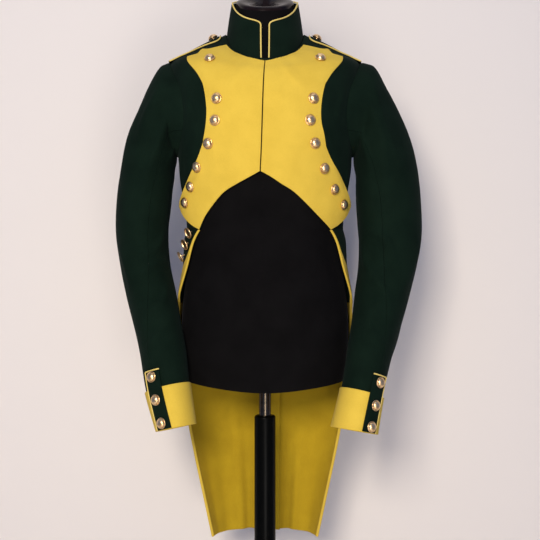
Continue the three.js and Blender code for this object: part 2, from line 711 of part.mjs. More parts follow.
// A point of a tail: across runs from 0 at the front edge to 1 at the vent edge.
function tailPoint(sign, across, place) {
  const section = between(SKIRT, place);
  const isInner = sign < 0;
  const open = 1 - smoothstep(section.sideZ, VENT.bottom, VENT.top);
  const spread = smoothstep(open, 0.4, 1);
  const past = isInner ? (VENT.overlap * spread) / (section.back - section.mid) : 0;
  const seam = isInner ? SEAM_TURN : -SEAM_TURN * 2;
  const last = 180 + seam * (isInner ? -1 : 1) * (1 - open) + THREE.MathUtils.radToDeg(past);
  const turn = lerp(section.edge, last, across);
  const point = onSection(section, turn);
  const hang = 1 - smoothstep(section.sideZ, HEM_HEIGHT, FLUTE_TOP);
  const bulge = (fold) => fold.depth * hang * Math.exp(-(((turn - fold.turn) / fold.spread) ** 2));
  const flute = FLUTES.filter((fold) => fold.sign === sign)
    .reduce((sum, fold) => sum + bulge(fold), 0);
  const nearVent = smoothstep(open, 0, 0.4) * smoothstep(turn, 180 - VENT.reach, 178);
  const inward = isInner ? VENT.inward * nearVent : 0;
  const away = new THREE.Vector3(point.x, point.y - section.mid, 0).normalize();
  return point.addScaledVector(away, flute - inward);
}

function tailGrid(sign, columns, places) {
  const last = SKIRT.length - 1;
  const cloth = surface((across, place) => tailPoint(sign, across, place), -0.005, 0.01, last);
  return places.map((place) => {
    const row = [];
    for (let i = 0; i <= columns; i += 1) row.push(cloth(i / columns, place));
    return row;
  });
}

const TAIL_COLUMNS = 11;
const LINING_PLACES = [LINING_TOP, 940, 870, 790, 730, 670, 605, HEM_HEIGHT].map(placeOfHeight);
const TAIL_PLACES = [WAIST_HEIGHT - WAIST_GAP, 1106, 1090, 1078, 1068, 1056, 1045, 1022, 1000]
  .map(placeOfHeight).concat(LINING_PLACES);

const FACING_OUT = CLOTH + 1.2;

// The strip of yellow facing that is turned back over the tail's front edge.
function skirtFacing(sign) {
  const cloth = surface((across, place) => tailPoint(sign, across, place), -0.005, 0.01, SKIRT.length - 1);
  const grid = TAIL_PLACES.slice(1).map((place) => {
    const { sideZ } = between(SKIRT, place);
    const next = FACING.findIndex(({ height }) => height <= sideZ);
    const [upper, lower] = [FACING[Math.max(next - 1, 0)], FACING[Math.max(next, 1)]];
    const part = clamp((upper.height - sideZ) / (upper.height - lower.height), 0, 1);
    const width = lerp(upper.width, lower.width, part);
    const perAcross = cloth(0, place).point.distanceTo(cloth(0.02, place).point) / 0.02;
    return [0, 0.5, 1].map((share) => cloth((share * width) / perAcross, place));
  });
  return wall([grid], FACING_OUT, FACING_OUT + CLOTH, sign);
}

SIDES.forEach(({ name, sign }) => {
  const outside = tailGrid(sign, TAIL_COLUMNS, TAIL_PLACES);
  const inside = tailGrid(sign, TAIL_COLUMNS, LINING_PLACES);
  add(`tail_${name}`, wall([outside], 0, CLOTH, sign), greenWool());
  add(`tail_lining_${name}`, wall([inside], -SEAM_GAP - LINING, -SEAM_GAP, sign), yellowWool());
  add(`skirt_facing_${name}`, skirtFacing(sign), yellowWool());
});

// ---------------------------------------------------------------- buttons

const UP = new THREE.Vector3(0, 1, 0);

// A turned button with its shank, its axis along +Y.
function buttonGeometry({ radius, height, rim, foot, shank }, domed) {
  const crown = domed
    ? [[radius, shank + rim], [radius * 0.7, shank + height * 0.74], [0, shank + height]]
    : [[radius, shank + rim], [radius * 0.84, shank + rim + 0.9], [radius * 0.7, shank + rim],
      [0, shank + rim + 0.4]];
  const profile = [[0, 0], [foot, 0], [foot, shank], [radius * 0.94, shank], ...crown];
  return new THREE.LatheGeometry(profile.map(([x, y]) => new THREE.Vector2(x, y)), BUTTON_SEGMENTS);
}

function addButton(name, seat, sign, size, domed) {
  const button = add(name, buttonGeometry(size, domed), gilt());
  button.position.copy(mirrored(seat.point, sign));
  button.quaternion.setFromUnitVectors(UP, mirrored(seat.normal, sign));
}

const BUTTON_GAP = 0.4;
SIDES.forEach(({ name, sign }) => {
  LAPEL_BUTTONS[name].forEach(([turn, height], index) => {
    const out = LAPEL_OUT + CLOTH + BUTTON_GAP + cornerLift(aboveBody(turn, height, 0));
    addButton(`lapel_button_${name}_${index + 1}`, aboveBody(turn, height, out), sign, DOMED_BUTTON, true);
  });
  [0.1, 0.49, 0.855].forEach((part, index) => {
    const { point, normal } = flapPoint(sign, part, 0);
    const seat = { point: point.addScaledVector(normal, FLAP.out + CLOTH + BUTTON_GAP), normal };
    addButton(`cuff_button_${name}_${index + 1}`, seat, sign, DOMED_BUTTON, true);
  });
  const { point, normal } = strapPoint(0.88, 0);
  const seat = { point: point.addScaledVector(normal, STRAP_OUT + CLOTH + BUTTON_GAP), normal };
  addButton(`strap_button_${name}`, seat, sign, DOMED_BUTTON, true);
});

// A seat tipped towards the ground, lifted so that the foot of its shank clears the cloth.
function drooping({ point, normal }, degrees, foot) {
  const tip = degToRad(degrees);
  const down = new THREE.Vector3(0, 0, -1).projectOnPlane(normal).normalize();
  return {
    point: point.clone().addScaledVector(normal, (foot * Math.sin(tip)) / 2),
    normal: normal.clone().multiplyScalar(Math.cos(tip)).addScaledVector(down, Math.sin(tip)),
  };
}

WAIST_BUTTONS.forEach(({ turn, height, droop }, index) => {
  const place = placeOfHeight(height);
  const section = between(SKIRT, place);
  const across = (turn - section.edge) / (180 - section.edge);
  const cloth = surface((u, v) => tailPoint(-1, u, v), -0.005, 0.01, SKIRT.length - 1);
  const { point, normal } = cloth(across, place);
  const seat = { point: point.addScaledVector(normal, CLOTH + BUTTON_GAP / 3), normal };
  const tipped = drooping(seat, droop, FLAT_BUTTON.foot);
  addButton(`waist_button_${index + 1}`, tipped, -1, FLAT_BUTTON, false);
});

// ---------------------------------------------------------------- dress form and stand

// The smooth solid that fills a list of rings, closed by its lowest ring and a low crown.
function solidOfRings(rings, rise) {
  const middleOf = (ring) => ring.reduce((sum, p) => sum.add(p), new THREE.Vector3())
    .divideScalar(ring.length);
  const first = middleOf(rings[0]);
  const last = middleOf(rings[rings.length - 1]).add(new THREE.Vector3(0, -rise / 4, rise));
  const faces = [];
  const count = rings[0].length;
  for (let i = 0; i < count; i += 1) {
    const next = (i + 1) % count;
    faces.push([first, rings[0][next], rings[0][i]]);
    for (let j = 1; j < rings.length; j += 1) {
      const [a, b, c, d] = [rings[j - 1][i], rings[j - 1][next], rings[j][next], rings[j][i]];
      faces.push([a, b, c], [a, c, d]);
    }
    const top = rings[rings.length - 1];
    faces.push([top[i], top[next], last]);
  }
  return facesToGeometry(faces, 1);
}

const FORM_TURNS = Array.from({ length: 30 }, (_, i) => i * 12);

function formTorso() {
  const bodyPlaces = [0, 1, 2, 3, 4, 4.5, 5, 5.5, 6, 7, 8, 9, 10, 11, 12, 13, 14, 14.8];
  const floor = FORM_TURNS.map((turn) => new THREE.Vector3(
    FORM_FLOOR.radius * Math.sin(degToRad(turn)),
    -FORM_FLOOR.radius * Math.cos(degToRad(turn)),
    FORM_FLOOR.height,
  ));
  const torso = bodyPlaces.map((place) => FORM_TURNS.map((turn) => {
    const ease = lerp(FORM_EASE.below, FORM_EASE.shoulder, smoothstep(place, 9, 11.5));
    const { point, normal } = bodySurface(turn, place);
    return point.addScaledVector(normal, -ease);
  }));
  const neck = [0, 1, 2, 2.9].map((place) => FORM_TURNS
    .map((turn) => onSection(between(NECK, place), turn)));
  return solidOfRings([floor, ...torso, ...neck], 0);
}

function neckCap() {
  const top = NECK.length - 1;
  const ring = (place, scale) => FORM_TURNS.map((turn) => {
    const point = onSection(between(NECK, place), turn);
    return new THREE.Vector3(point.x * scale, point.y * scale, point.z);
  });
  const lifted = (points, rise) => points.map((p) => p.clone().add(new THREE.Vector3(0, 0, rise)));
  return solidOfRings([lifted(ring(2.9, 1), SEAM_GAP), lifted(ring(top, 1), 3),
    lifted(ring(top, 0.96), 7), lifted(ring(top, 0.7), 11)], NECK_CAP_RISE);
}

function turned(profile, segments) {
  const geometry = new THREE.LatheGeometry(profile.map(([x, y]) => new THREE.Vector2(x, y)), segments);
  return geometry.rotateX(Math.PI / 2);
}

add('form_torso', formTorso(), finish(0x0c0c0d, 0.85));
add('neck_cap', neckCap(), finish(0x1c1110, 0.2));
add('stand_rod', turned([
  [0, POLE.top + SEAM_GAP], [ROD_RADIUS, POLE.top + SEAM_GAP],
  [ROD_RADIUS, FORM_FLOOR.height - SEAM_GAP], [0, FORM_FLOOR.height - SEAM_GAP],
], 24), finish(0xd8dade, 0.12, 1));
add('stand_pole', turned([
  [0, FOOT.thickness + SEAM_GAP], [POLE.radius, FOOT.thickness + SEAM_GAP],
  [POLE.radius, POLE.top - POLE.rim], [POLE.radius - POLE.rim * 0.3, POLE.top - POLE.rim * 0.3],
  [POLE.radius - POLE.rim, POLE.top], [0, POLE.top],
], 24), finish(0x0b0b0c, 0.25));
add('stand_base', turned([
  [0, 0], [FOOT.radius, 0], [FOOT.radius, FOOT.thickness - FOOT.edge],
  [FOOT.radius - FOOT.edge, FOOT.thickness], [0, FOOT.thickness],
], 32), finish(0x0b0b0c, 0.3));

export default coat;
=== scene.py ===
import math

import bpy
import numpy as np
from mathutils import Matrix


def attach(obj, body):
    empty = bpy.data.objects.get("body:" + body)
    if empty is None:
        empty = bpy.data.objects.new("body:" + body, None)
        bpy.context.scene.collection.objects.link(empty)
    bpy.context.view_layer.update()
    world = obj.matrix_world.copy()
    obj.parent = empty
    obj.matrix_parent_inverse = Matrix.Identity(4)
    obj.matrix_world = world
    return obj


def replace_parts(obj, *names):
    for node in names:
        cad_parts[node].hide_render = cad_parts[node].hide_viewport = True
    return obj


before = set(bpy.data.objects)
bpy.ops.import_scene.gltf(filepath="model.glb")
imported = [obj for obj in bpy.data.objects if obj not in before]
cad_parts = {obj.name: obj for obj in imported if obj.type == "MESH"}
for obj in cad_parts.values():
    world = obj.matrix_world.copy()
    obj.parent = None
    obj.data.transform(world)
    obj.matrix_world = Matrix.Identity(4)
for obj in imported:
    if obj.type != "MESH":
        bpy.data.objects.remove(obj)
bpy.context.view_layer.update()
print("frame loaded")

# Lengths are in millimetres and turn into metres where a mesh is made.
# Side 1 is the wearer's left, at +X, and side -1 the right. The front faces -Y.
sides = {"left": 1, "right": -1}
metre = 0.001
coat = {"cloth": 2.0, "seamGap": 0.3, "layerGap": 0.8, "waist": 1112, "density": 7}
layerOut = coat["cloth"] + coat["layerGap"]

viewFrom = {"back": 1.6, "height": 1.04, "lens": 59.26, "shift": 0.00926}


# A level camera square in front of the stand.
def placeCamera():
    data = bpy.data.cameras.new("camera")
    data.lens = viewFrom["lens"]
    data.sensor_width = 36
    data.shift_x = viewFrom["shift"]
    camera = bpy.data.objects.new("camera", data)
    camera.location = (0, -viewFrom["back"], viewFrom["height"])
    camera.rotation_euler = (math.pi / 2, 0, 0)
    bpy.context.scene.collection.objects.link(camera)
    bpy.context.scene.camera = camera


placeCamera()
bpy.context.scene.view_settings.view_transform = "Standard"
print("camera placed")

# Cloth, cord and metal finishes.

finishes = {
    "greenWool": {
        "slot": "green_wool", "light": (0.0044, 0.0115, 0.0067), "dark": (0.0023, 0.0068, 0.004),
        "specular": 0.05, "roughness": 0.92, "sheen": 0.02, "sheenTint": (0.45, 0.62, 0.55),
        "felt": 0.35, "twill": 0.1,
    },
    "yellowWool": {
        "slot": "yellow_wool", "light": (0.67, 0.455, 0.054), "dark": (0.58, 0.385, 0.041),
        "specular": 0.15, "roughness": 0.88, "sheen": 0.05, "sheenTint": (1.0, 0.9, 0.6),
        "felt": 0.3, "twill": 0.16,
    },
    "yellowLining": {
        "slot": "yellow_lining", "light": (0.46, 0.3, 0.013), "dark": (0.38, 0.24, 0.01),
        "specular": 0.1, "roughness": 0.9, "sheen": 0.06, "sheenTint": (1.0, 0.9, 0.6),
        "felt": 0.25, "twill": 0.3,
    },
    "paleCord": {
        "slot": "pale_cord", "light": (0.76, 0.57, 0.16), "dark": (0.62, 0.44, 0.1),
        "specular": 0.2, "roughness": 0.8, "sheen": 0.15, "sheenTint": (1.0, 0.95, 0.7),
        "felt": 0.3, "twill": 0.2,
    },
    "blackJersey": {
        "slot": "black_jersey", "light": (0.0047, 0.0042, 0.0042), "dark": (0.0027, 0.0024, 0.0024),
        "specular": 0.04, "roughness": 0.9, "sheen": 0.01, "sheenTint": (0.7, 0.7, 0.8),
        "felt": 0.15, "twill": 0.25,
    },
}
weaveLook = {
    "felt": 1100.0, "mottle": 26.0, "feltShare": 0.55, "darkAt": 0.36, "lightAt": 0.62,
    "twillPitch": 0.0013, "twillSlant": 52, "reliefDepth": 0.0004, "sheenRoughness": 0.45,
}


# A shader node at its place in the tree, with its inputs set by name.
def addNode(tree, kind, place, **values):
    node = tree.nodes.new(kind)
    node.location = place
    for name, value in values.items():
        node.inputs[name.replace("_", " ")].default_value = value
    return node


# The base colour goes from dark to light as a pattern's value rises between two levels.
def addTwoTone(tree, pattern, look, levels, place):
    ramp = addNode(tree, "ShaderNodeValToRGB", place)
    for element, level, tone in zip(ramp.color_ramp.elements, levels, ("dark", "light")):
        element.position = level
        element.color = (*look[tone], 1)
    tree.links.new(pattern, ramp.inputs["Fac"])
    tree.links.new(ramp.outputs["Color"], tree.nodes["Principled BSDF"].inputs["Base Color"])


# Wool: fine felted fibres over a faint slanted twill, mottled a little from place to place.
def clothMaterial(name, look):
    material = bpy.data.materials.new(name)
    material.use_nodes = True
    tree = material.node_tree
    link = tree.links.new
    shader = tree.nodes["Principled BSDF"]
    shader.inputs["Roughness"].default_value = look["roughness"]
    shader.inputs["Specular IOR Level"].default_value = look["specular"]
    shader.inputs["Sheen Weight"].default_value = look["sheen"]
    shader.inputs["Sheen Roughness"].default_value = weaveLook["sheenRoughness"]
    shader.inputs["Sheen Tint"].default_value = (*look["sheenTint"], 1)
    place = addNode(tree, "ShaderNodeTexCoord", (-1400, 0))
    weave = addNode(tree, "ShaderNodeAttribute", (-1400, -300))
    weave.attribute_name = "weave"
    mottle = addNode(tree, "ShaderNodeTexNoise", (-1100, 200), Scale=weaveLook["mottle"], Detail=4.0)
    felt = addNode(tree, "ShaderNodeTexNoise", (-1100, 0), Scale=weaveLook["felt"], Detail=3.0)
    slant = math.radians(weaveLook["twillSlant"])
    turned = addNode(tree, "ShaderNodeMapping", (-1100, -300), Rotation=(0, 0, slant))
    twill = addNode(tree, "ShaderNodeTexWave", (-900, -300), Distortion=0.6, Detail=1.0)
    twill.inputs["Scale"].default_value = math.pi / 10 / weaveLook["twillPitch"]
    link(place.outputs["Object"], mottle.inputs["Vector"])
    link(place.outputs["Object"], felt.inputs["Vector"])
    link(weave.outputs["Vector"], turned.inputs["Vector"])
    link(turned.outputs["Vector"], twill.inputs["Vector"])
    blend = addNode(tree, "ShaderNodeMix", (-700, 100), Factor=weaveLook["feltShare"])
    link(mottle.outputs["Fac"], blend.inputs["A"])
    link(felt.outputs["Fac"], blend.inputs["B"])
    levels = (weaveLook["darkAt"], weaveLook["lightAt"])
    addTwoTone(tree, blend.outputs["Result"], look, levels, (-500, 100))
    depth = weaveLook["reliefDepth"]
    ribs = addNode(tree, "ShaderNodeBump", (-500, -300), Strength=look["twill"], Distance=depth)
    link(twill.outputs["Fac"], ribs.inputs["Height"])
    fibres = addNode(tree, "ShaderNodeBump", (-300, -200), Strength=look["felt"], Distance=depth)
    link(felt.outputs["Fac"], fibres.inputs["Height"])
    link(ribs.outputs["Normal"], fibres.inputs["Normal"])
    link(fibres.outputs["Normal"], shader.inputs["Normal"])
    return material


hardFinishes = {
    "gilt": {
        "slot": "gilt", "light": (0.93, 0.64, 0.33), "dark": (0.68, 0.43, 0.19),
        "metallic": 1.0, "roughness": 0.33, "specular": 0.5, "speckle": 160.0,
    },
    "neckLacquer": {
        "slot": "neck_lacquer", "light": (0.009, 0.0045, 0.0034), "dark": (0.0055, 0.003, 0.0025),
        "metallic": 0.0, "roughness": 0.2, "specular": 0.15, "speckle": 60.0,
    },
    # The chrome's colour is dark brown, far below bright metal: a painted reflection of a dark brown room.
    "chrome": {
        "slot": "chrome", "light": (0.085, 0.065, 0.045), "dark": (0.06, 0.048, 0.033),
        "metallic": 1.0, "roughness": 0.24, "specular": 0.5, "speckle": 90.0,
    },
    "blackPaint": {
        "slot": "black_paint", "light": (0.002, 0.002, 0.0016), "dark": (0.0014, 0.0014, 0.0011),
        "metallic": 0.0, "roughness": 0.3, "specular": 0.04, "speckle": 120.0,
    },
}
tarnishLevels = (0.38, 0.56)


# Metal, lacquer and enamel: a plain colour with a faint cloudy tarnish.
def hardMaterial(name, look):
    material = bpy.data.materials.new(name)
    material.use_nodes = True
    tree = material.node_tree
    shader = tree.nodes["Principled BSDF"]
    shader.inputs["Metallic"].default_value = look["metallic"]
    shader.inputs["Roughness"].default_value = look["roughness"]
    shader.inputs["Specular IOR Level"].default_value = look["specular"]
    place = addNode(tree, "ShaderNodeTexCoord", (-900, 0))
    cloud = addNode(tree, "ShaderNodeTexNoise", (-700, 0), Scale=look["speckle"], Detail=3.0)
    tree.links.new(place.outputs["Object"], cloud.inputs["Vector"])
    addTwoTone(tree, cloud.outputs["Fac"], look, tarnishLevels, (-450, 0))
    return material


materials = {name: clothMaterial(name, look) for name, look in finishes.items()}
materials.update({name: hardMaterial(name, look) for name, look in hardFinishes.items()})
print("finishes made")

# Curves and surfaces.


# The smooth cubic from b to c with a before and d after them, t running from 0 to 1:
# b + t/2 (c - a + t (2a - 5b + 4c - d + t (3(b - c) + d - a))).
def cubic(a, b, c, d, part):
    bend = 2 * a - 5 * b + 4 * c - d + part * (3 * (b - c) + d - a)
    return b + 0.5 * part * (c - a + part * bend)


# The cubic through a table's rows, read at any place between them, column by column.
def readRows(rows, place):
    rows = np.asarray(rows, float)
    place = np.asarray(place, float)
    last = len(rows) - 1
    low = np.clip(np.floor(place).astype(int), 0, last - 1)
    part = (np.clip(place, 0, last) - low)[..., None]
    return cubic(*(rows[np.clip(low + step, 0, last)] for step in (-1, 0, 1, 2)), part)


# Vectors divided by their own lengths.
def unit(vectors):
    return vectors / np.linalg.norm(vectors, axis=-1, keepdims=True)


# The lengths run along each line of points from its start, added up step by step.
def runAlong(points):
    steps = np.linalg.norm(np.diff(points, axis=0), axis=-1)
    return np.concatenate([np.zeros((1, *steps.shape[1:])), np.cumsum(steps, axis=0)])


# A line's columns, read between its points at even steps of its run.
def evenly(line, count):
    run = runAlong(line)
    even = np.linspace(0, run[-1], count)
    return np.stack([np.interp(even, run, column) for column in line.T], -1)


# Eases from 0 at low to 1 at high: 3t^2 - 2t^3.
def smoothStep(value, low, high):
    part = np.clip((value - low) / (high - low), 0, 1)
    return part * part * (3 - 2 * part)


# A level section is a rounded oval whose rim rises from its sides to its front and its back.
# Its reach at a turn is (|across / half| ^ power + |along / depth| ^ power) ^ (-1 / power).
def ovalPoint(section, turn):
    sideZ, frontZ, backZ, half, front, mid, back, power, swing = np.moveaxis(section, -1, 0)
    across, along = np.sin(np.radians(turn)), np.cos(np.radians(turn))
    depth = np.where(along > 0, mid - front, back - mid)
    reach = (np.abs(across / half) ** power + np.abs(along / depth) ** power) ** (-1 / power)
    endZ = np.where(along > 0, frontZ, backZ)
    height = sideZ + (endZ - sideZ) * np.abs(along) ** swing
    return np.stack([reach * across, mid - reach * along, height], -1)


# Points and unit normals of a surface, its normal being the cross product of its two slopes.
def surfaceOf(pointAt, u, v, stepU, stepV, lastV):
    u, v = np.broadcast_arrays(np.asarray(u, float), np.asarray(v, float))
    middle = np.clip(v, stepV, lastV - stepV)
    alongU = pointAt(u + stepU, middle) - pointAt(u - stepU, middle)
    alongV = pointAt(u, middle + stepV) - pointAt(u, middle - stepV)
    return pointAt(u, v), unit(np.cross(alongU, alongV))


# A stretch of turns and places, made smooth and cut into even steps; a place is one ring, which
# counts as much as 20 degrees of turn.
def evenLine(points, count):
    spacing = np.array([1.0, 20.0])
    fine = readRows(np.asarray(points, float) * spacing, np.linspace(0, len(points) - 1, 500))
    return evenly(fine, count + 1) / spacing


# Stretches joined end to end into one edge, each given with its number of steps.
def outline(*stretches):
    lines = [evenLine(points, count) for points, count in stretches]
    return np.concatenate([lines[0]] + [line[1:] for line in lines[1:]])


# A patch blended from its four edges: rows plus columns, less the blend of its corners.
def patch(bottom, top, left, right):
    u = np.linspace(0, 1, len(bottom))[None, :, None]
    v = np.linspace(0, 1, len(left))[:, None, None]
    rows = left[:, None] * (1 - u) + right[:, None] * u
    columns = bottom[None] * (1 - v) + top[None] * v
    corners = (bottom[0] * (1 - u) + bottom[-1] * u) * (1 - v) + (top[0] * (1 - u) + top[-1] * u) * v
    return rows + columns - corners


# Folds by turn and height, a degree of turn being so wide: each is a ridge along a line from its
# start to its end, bowed sideways, steeper on one side, its depth swelling and dying on the way.
def foldField(turn, y, folds, degreeWidth):
    x = turn * degreeWidth
    total = np.zeros(np.broadcast(x, y).shape)
    for startTurn, y0, endTurn, y1, bow, width, depth in folds:
        x0, x1 = startTurn * degreeWidth, endTurn * degreeWidth
        length = math.hypot(x1 - x0, y1 - y0)
        dx, dy = (x1 - x0) / length, (y1 - y0) / length
        along = ((x - x0) * dx + (y - y0) * dy) / length
        inside = np.clip(along, 0, 1)
        side = (x - x0) * dy - (y - y0) * dx - bow * np.sin(np.pi * inside)
        beyond = (along - inside) * length
        spread = np.where(side > 0, 0.7, 1.3) * width
        swell = np.sin(np.pi * np.clip(0.06 + 0.94 * along, 0.06, 0.97)) ** 0.7
        total = total + depth * swell * np.exp(-(side / spread) ** 2 - (beyond / width) ** 2)
    return total


# Meshes.


# A mesh from points in millimetres, shaded smooth except over sharp bends, riding on the stand.
def makeObject(name, points, faces, material, weave, smoothAngle=0.7):
    mesh = bpy.data.meshes.new(name)
    mesh.from_pydata((np.asarray(points) * metre).tolist(), [], faces)
    layer = mesh.attributes.new("weave", "FLOAT_VECTOR", "POINT")
    layer.data.foreach_set("vector", np.ascontiguousarray(weave * metre, np.float32).ravel())
    mesh.validate()
    mesh.shade_smooth()
    mesh.set_sharp_from_angle(angle=smoothAngle)
    mesh.materials.append(materials[material])
    piece = bpy.data.objects.new(name, mesh)
    bpy.context.scene.collection.objects.link(piece)
    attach(piece, "root")
    return piece


# Lengths along a grid's rows, from their middle, and along its columns, so that the weave
# follows the cut.
def weaveOf(points):
    u = runAlong(np.swapaxes(points, 0, 1)).T
    middle = points.shape[1] // 2
    return np.stack([u - u[:, middle:middle + 1], runAlong(points), np.zeros_like(u)], -1)


# Grids welded into one sheet where their points meet, with its cells turned to face outwards.
def weldGrids(grids):
    points, normals, weaves, cells = [], [], [], []
    count = 0
    for point, normal in grids:
        rows, columns = point.shape[:2]
        number = np.arange(count, count + rows * columns).reshape(rows, columns)
        corner = [number[:-1, :-1], number[:-1, 1:], number[1:, 1:], number[1:, :-1]]
        j, i = rows // 2, columns // 2
        facing = np.cross(point[j, i] - point[j, i - 1], point[j, i] - point[j - 1, i])
        order = corner if facing @ normal[j, i] > 0 else corner[::-1]
        cells.append(np.stack(order, -1).reshape(-1, 4))
        points.append(point.reshape(-1, 3))
        normals.append(normal.reshape(-1, 3))
        weaves.append(weaveOf(point).reshape(-1, 3))
        count += rows * columns
    points, normals, weave = (np.concatenate(part) for part in (points, normals, weaves))
    _, first, welded = np.unique(np.round(points, 2), axis=0, return_index=True, return_inverse=True)
    cells = welded.reshape(-1)[np.concatenate(cells)]
    cells = cells[(np.diff(np.sort(cells, axis=1), axis=1) > 0).all(axis=1)]
    return points[first], normals[first], weave[first], cells


# A wall of cloth: the sheet's points moved along their normals by inner and by outer, its two
# skins drawn back a little at every open edge and joined there round the middle of the edge.
def clothWall(name, grids, inner, outer, side, material, rounding):
    points, normals, weave, cells = weldGrids(grids)
    size = len(points)
    edges = np.concatenate([cells[:, [k, (k + 1) % 4]] for k in range(4)])
    isOpen = ~np.isin(edges[:, 0] * size + edges[:, 1], edges[:, 1] * size + edges[:, 0])
    start, end = edges[isOpen].T
    away = np.cross(points[end] - points[start], normals[start])
    outward = np.zeros_like(points)
    np.add.at(outward, start, away)
    np.add.at(outward, end, away)
    length = np.linalg.norm(outward, axis=1, keepdims=True)
    outward = outward / np.where(length > 0, length, 1)
    drawn = points - outward * rounding
    rim = np.unique(start)
    rimNumber = np.zeros(size, int)
    rimNumber[rim] = np.arange(len(rim)) + 2 * size
    allPoints = np.concatenate([
        drawn + normals * inner, drawn + normals * outer, points[rim] + normals[rim] * (inner + outer) / 2,
    ])
    faces = np.concatenate([
        cells[:, ::-1], cells + size,
        np.stack([end + size, start + size, rimNumber[start], rimNumber[end]], -1),
        np.stack([rimNumber[end], rimNumber[start], start, end], -1),
    ])
    if side < 0:
        allPoints = allPoints * [-1, 1, 1]
        faces = faces[:, ::-1]
    allWeave = np.concatenate([weave, weave, weave[rim]])
    return makeObject(name, allPoints, faces.tolist(), material, allWeave)


# A sheet in the place of the CAD node of its name, made from its cut.
def makeSheet(node, grids, side, material, rounding=0.5, wall=(0, coat["cloth"])):
    piece = clothWall(f"cloth_{node}", grids, *wall, side, material, rounding)
    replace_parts(piece, node)


# The four-sided faces of a closed tube of rings, their points numbered ring by ring.
def ringFaces(number):
    after = np.roll(number, -1, axis=-1)
    corners = [number[..., :-1, :], after[..., :-1, :], after[..., 1:, :], number[..., 1:, :]]
    return np.stack(corners, -1).reshape(-1, 4)


# A cord: a round section carried along a path, square to it at every step.
def cordAlong(name, path, normals, radius, around=10):
    ahead = unit(np.gradient(path, axis=0))
    beside = unit(np.cross(ahead, normals))
    over = np.cross(beside, ahead)
    angle = np.linspace(0, 2 * np.pi, around, endpoint=False)
    ring = path[:, None] + radius * (np.cos(angle)[None, :, None] * beside[:, None]
                                     + np.sin(angle)[None, :, None] * over[:, None])
    weave = np.broadcast_arrays(angle[None] * radius, runAlong(path)[:, None], 0.0)
    weave = np.stack(weave, -1).reshape(-1, 3)
    number = np.arange(len(path) * around).reshape(len(path), around)
    faces = ringFaces(number).tolist() + [number[0, ::-1].tolist(), number[-1].tolist()]
    return makeObject(name, ring.reshape(-1, 3), faces, "paleCord", weave)


# A path made smooth by the cubic and respaced at even steps of about the given length.
def respace(path, step):
    fine = readRows(path, np.linspace(0, len(path) - 1, 40 * len(path)))
    return evenly(fine, max(3, int(runAlong(fine)[-1] / step)))


piping = {"radius": 1.3, "gap": 0.6, "step": 2.2}


# Piping: a cord beside a cloth edge, the cloth on its left. At a corner it is mitred, by the sum
# of both squares to the edge, divided by 1 plus their product.
def pipingAlong(name, node, points, normals, out, side, radius=piping["radius"], gap=piping["gap"]):
    points = points + normals * out
    before = np.diff(points, axis=0)
    before = np.concatenate([before[:1], before])
    after = np.concatenate([before[1:], before[-1:]])
    square = [unit(np.cross(way, normals)) for way in (before, after)]
    mitre = (square[0] + square[1]) / (1 + (square[0] * square[1]).sum(1, keepdims=True))
    path = points + mitre * (radius + gap)
    line = respace(np.concatenate([path, normals], axis=1), piping["step"])
    flip = np.array([side, 1, 1])
    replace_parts(cordAlong(name, line[:, :3] * flip, line[:, 3:] * flip, radius), node)


stitch = {"length": 2.1, "gap": 1.3, "radius": 0.22, "inset": 3.0}


# Stitches: short threads at even steps along a line, each a five-sided bead of four rings that
# sinks into the cloth at both its ends.
def stitchRow(points, normals, side):
    line = respace(np.concatenate([points, normals], axis=1), stitch["length"] + stitch["gap"])
    place, normal = line[:, :3], unit(line[:, 3:])
    ahead = unit(np.gradient(place, axis=0))
    beside = np.cross(ahead, normal)
    along = np.array([-0.5, -0.3, 0.3, 0.5]) * stitch["length"]
    thick = np.array([0.3, 1.0, 1.0, 0.3]) * stitch["radius"]
    sink = np.array([-0.5, 0.3, 0.3, -0.5]) * stitch["radius"]
    angle = np.linspace(0, 2 * np.pi, 5, endpoint=False)
    ring = (place[:, None, None] + ahead[:, None, None] * along[None, :, None, None]
            + normal[:, None, None] * (sink[:, None] + thick[:, None] * np.sin(angle))[None, :, :, None]
            + beside[:, None, None] * (thick[:, None] * np.cos(angle))[None, :, :, None])
    ring = ring * np.array([side, 1, 1])
    faces = ringFaces(np.arange(ring.size // 3).reshape(ring.shape[:3]))
    if side < 0:
        faces = faces[:, ::-1]
    return ring.reshape(-1, 3), faces


# Several rows of stitches in one piece.
def stitches(name, lines, side, material):
    points, faces, count = [], [], 0
    for linePoints, normals in lines:
        ring, cells = stitchRow(linePoints, normals, side)
        points.append(ring)
        faces.append(cells + count)
        count += len(ring)
    points = np.concatenate(points)
    return makeObject(name, points, np.concatenate(faces).tolist(), material, points)


# A solid of rings, closed at both ends by a point.
def ringSolid(name, rings, material, smoothAngle=0.7):
    rings = np.asarray(rings, float)
    number = np.arange(rings.size // 3).reshape(rings.shape[:2])
    after = np.roll(number, -1, axis=1)
    faces = ringFaces(number).tolist()
    ends = [rings[0].mean(0), rings[-1].mean(0)]
    faces += np.stack([after[0], number[0], np.full_like(number[0], number.size)], -1).tolist()
    faces += np.stack([number[-1], after[-1], np.full_like(number[0], number.size + 1)], -1).tolist()
    points = np.concatenate([rings.reshape(-1, 3), ends])
    weave = np.concatenate([weaveOf(rings).reshape(-1, 3), np.zeros((2, 3))])
    return makeObject(name, points, faces, material, weave, smoothAngle)


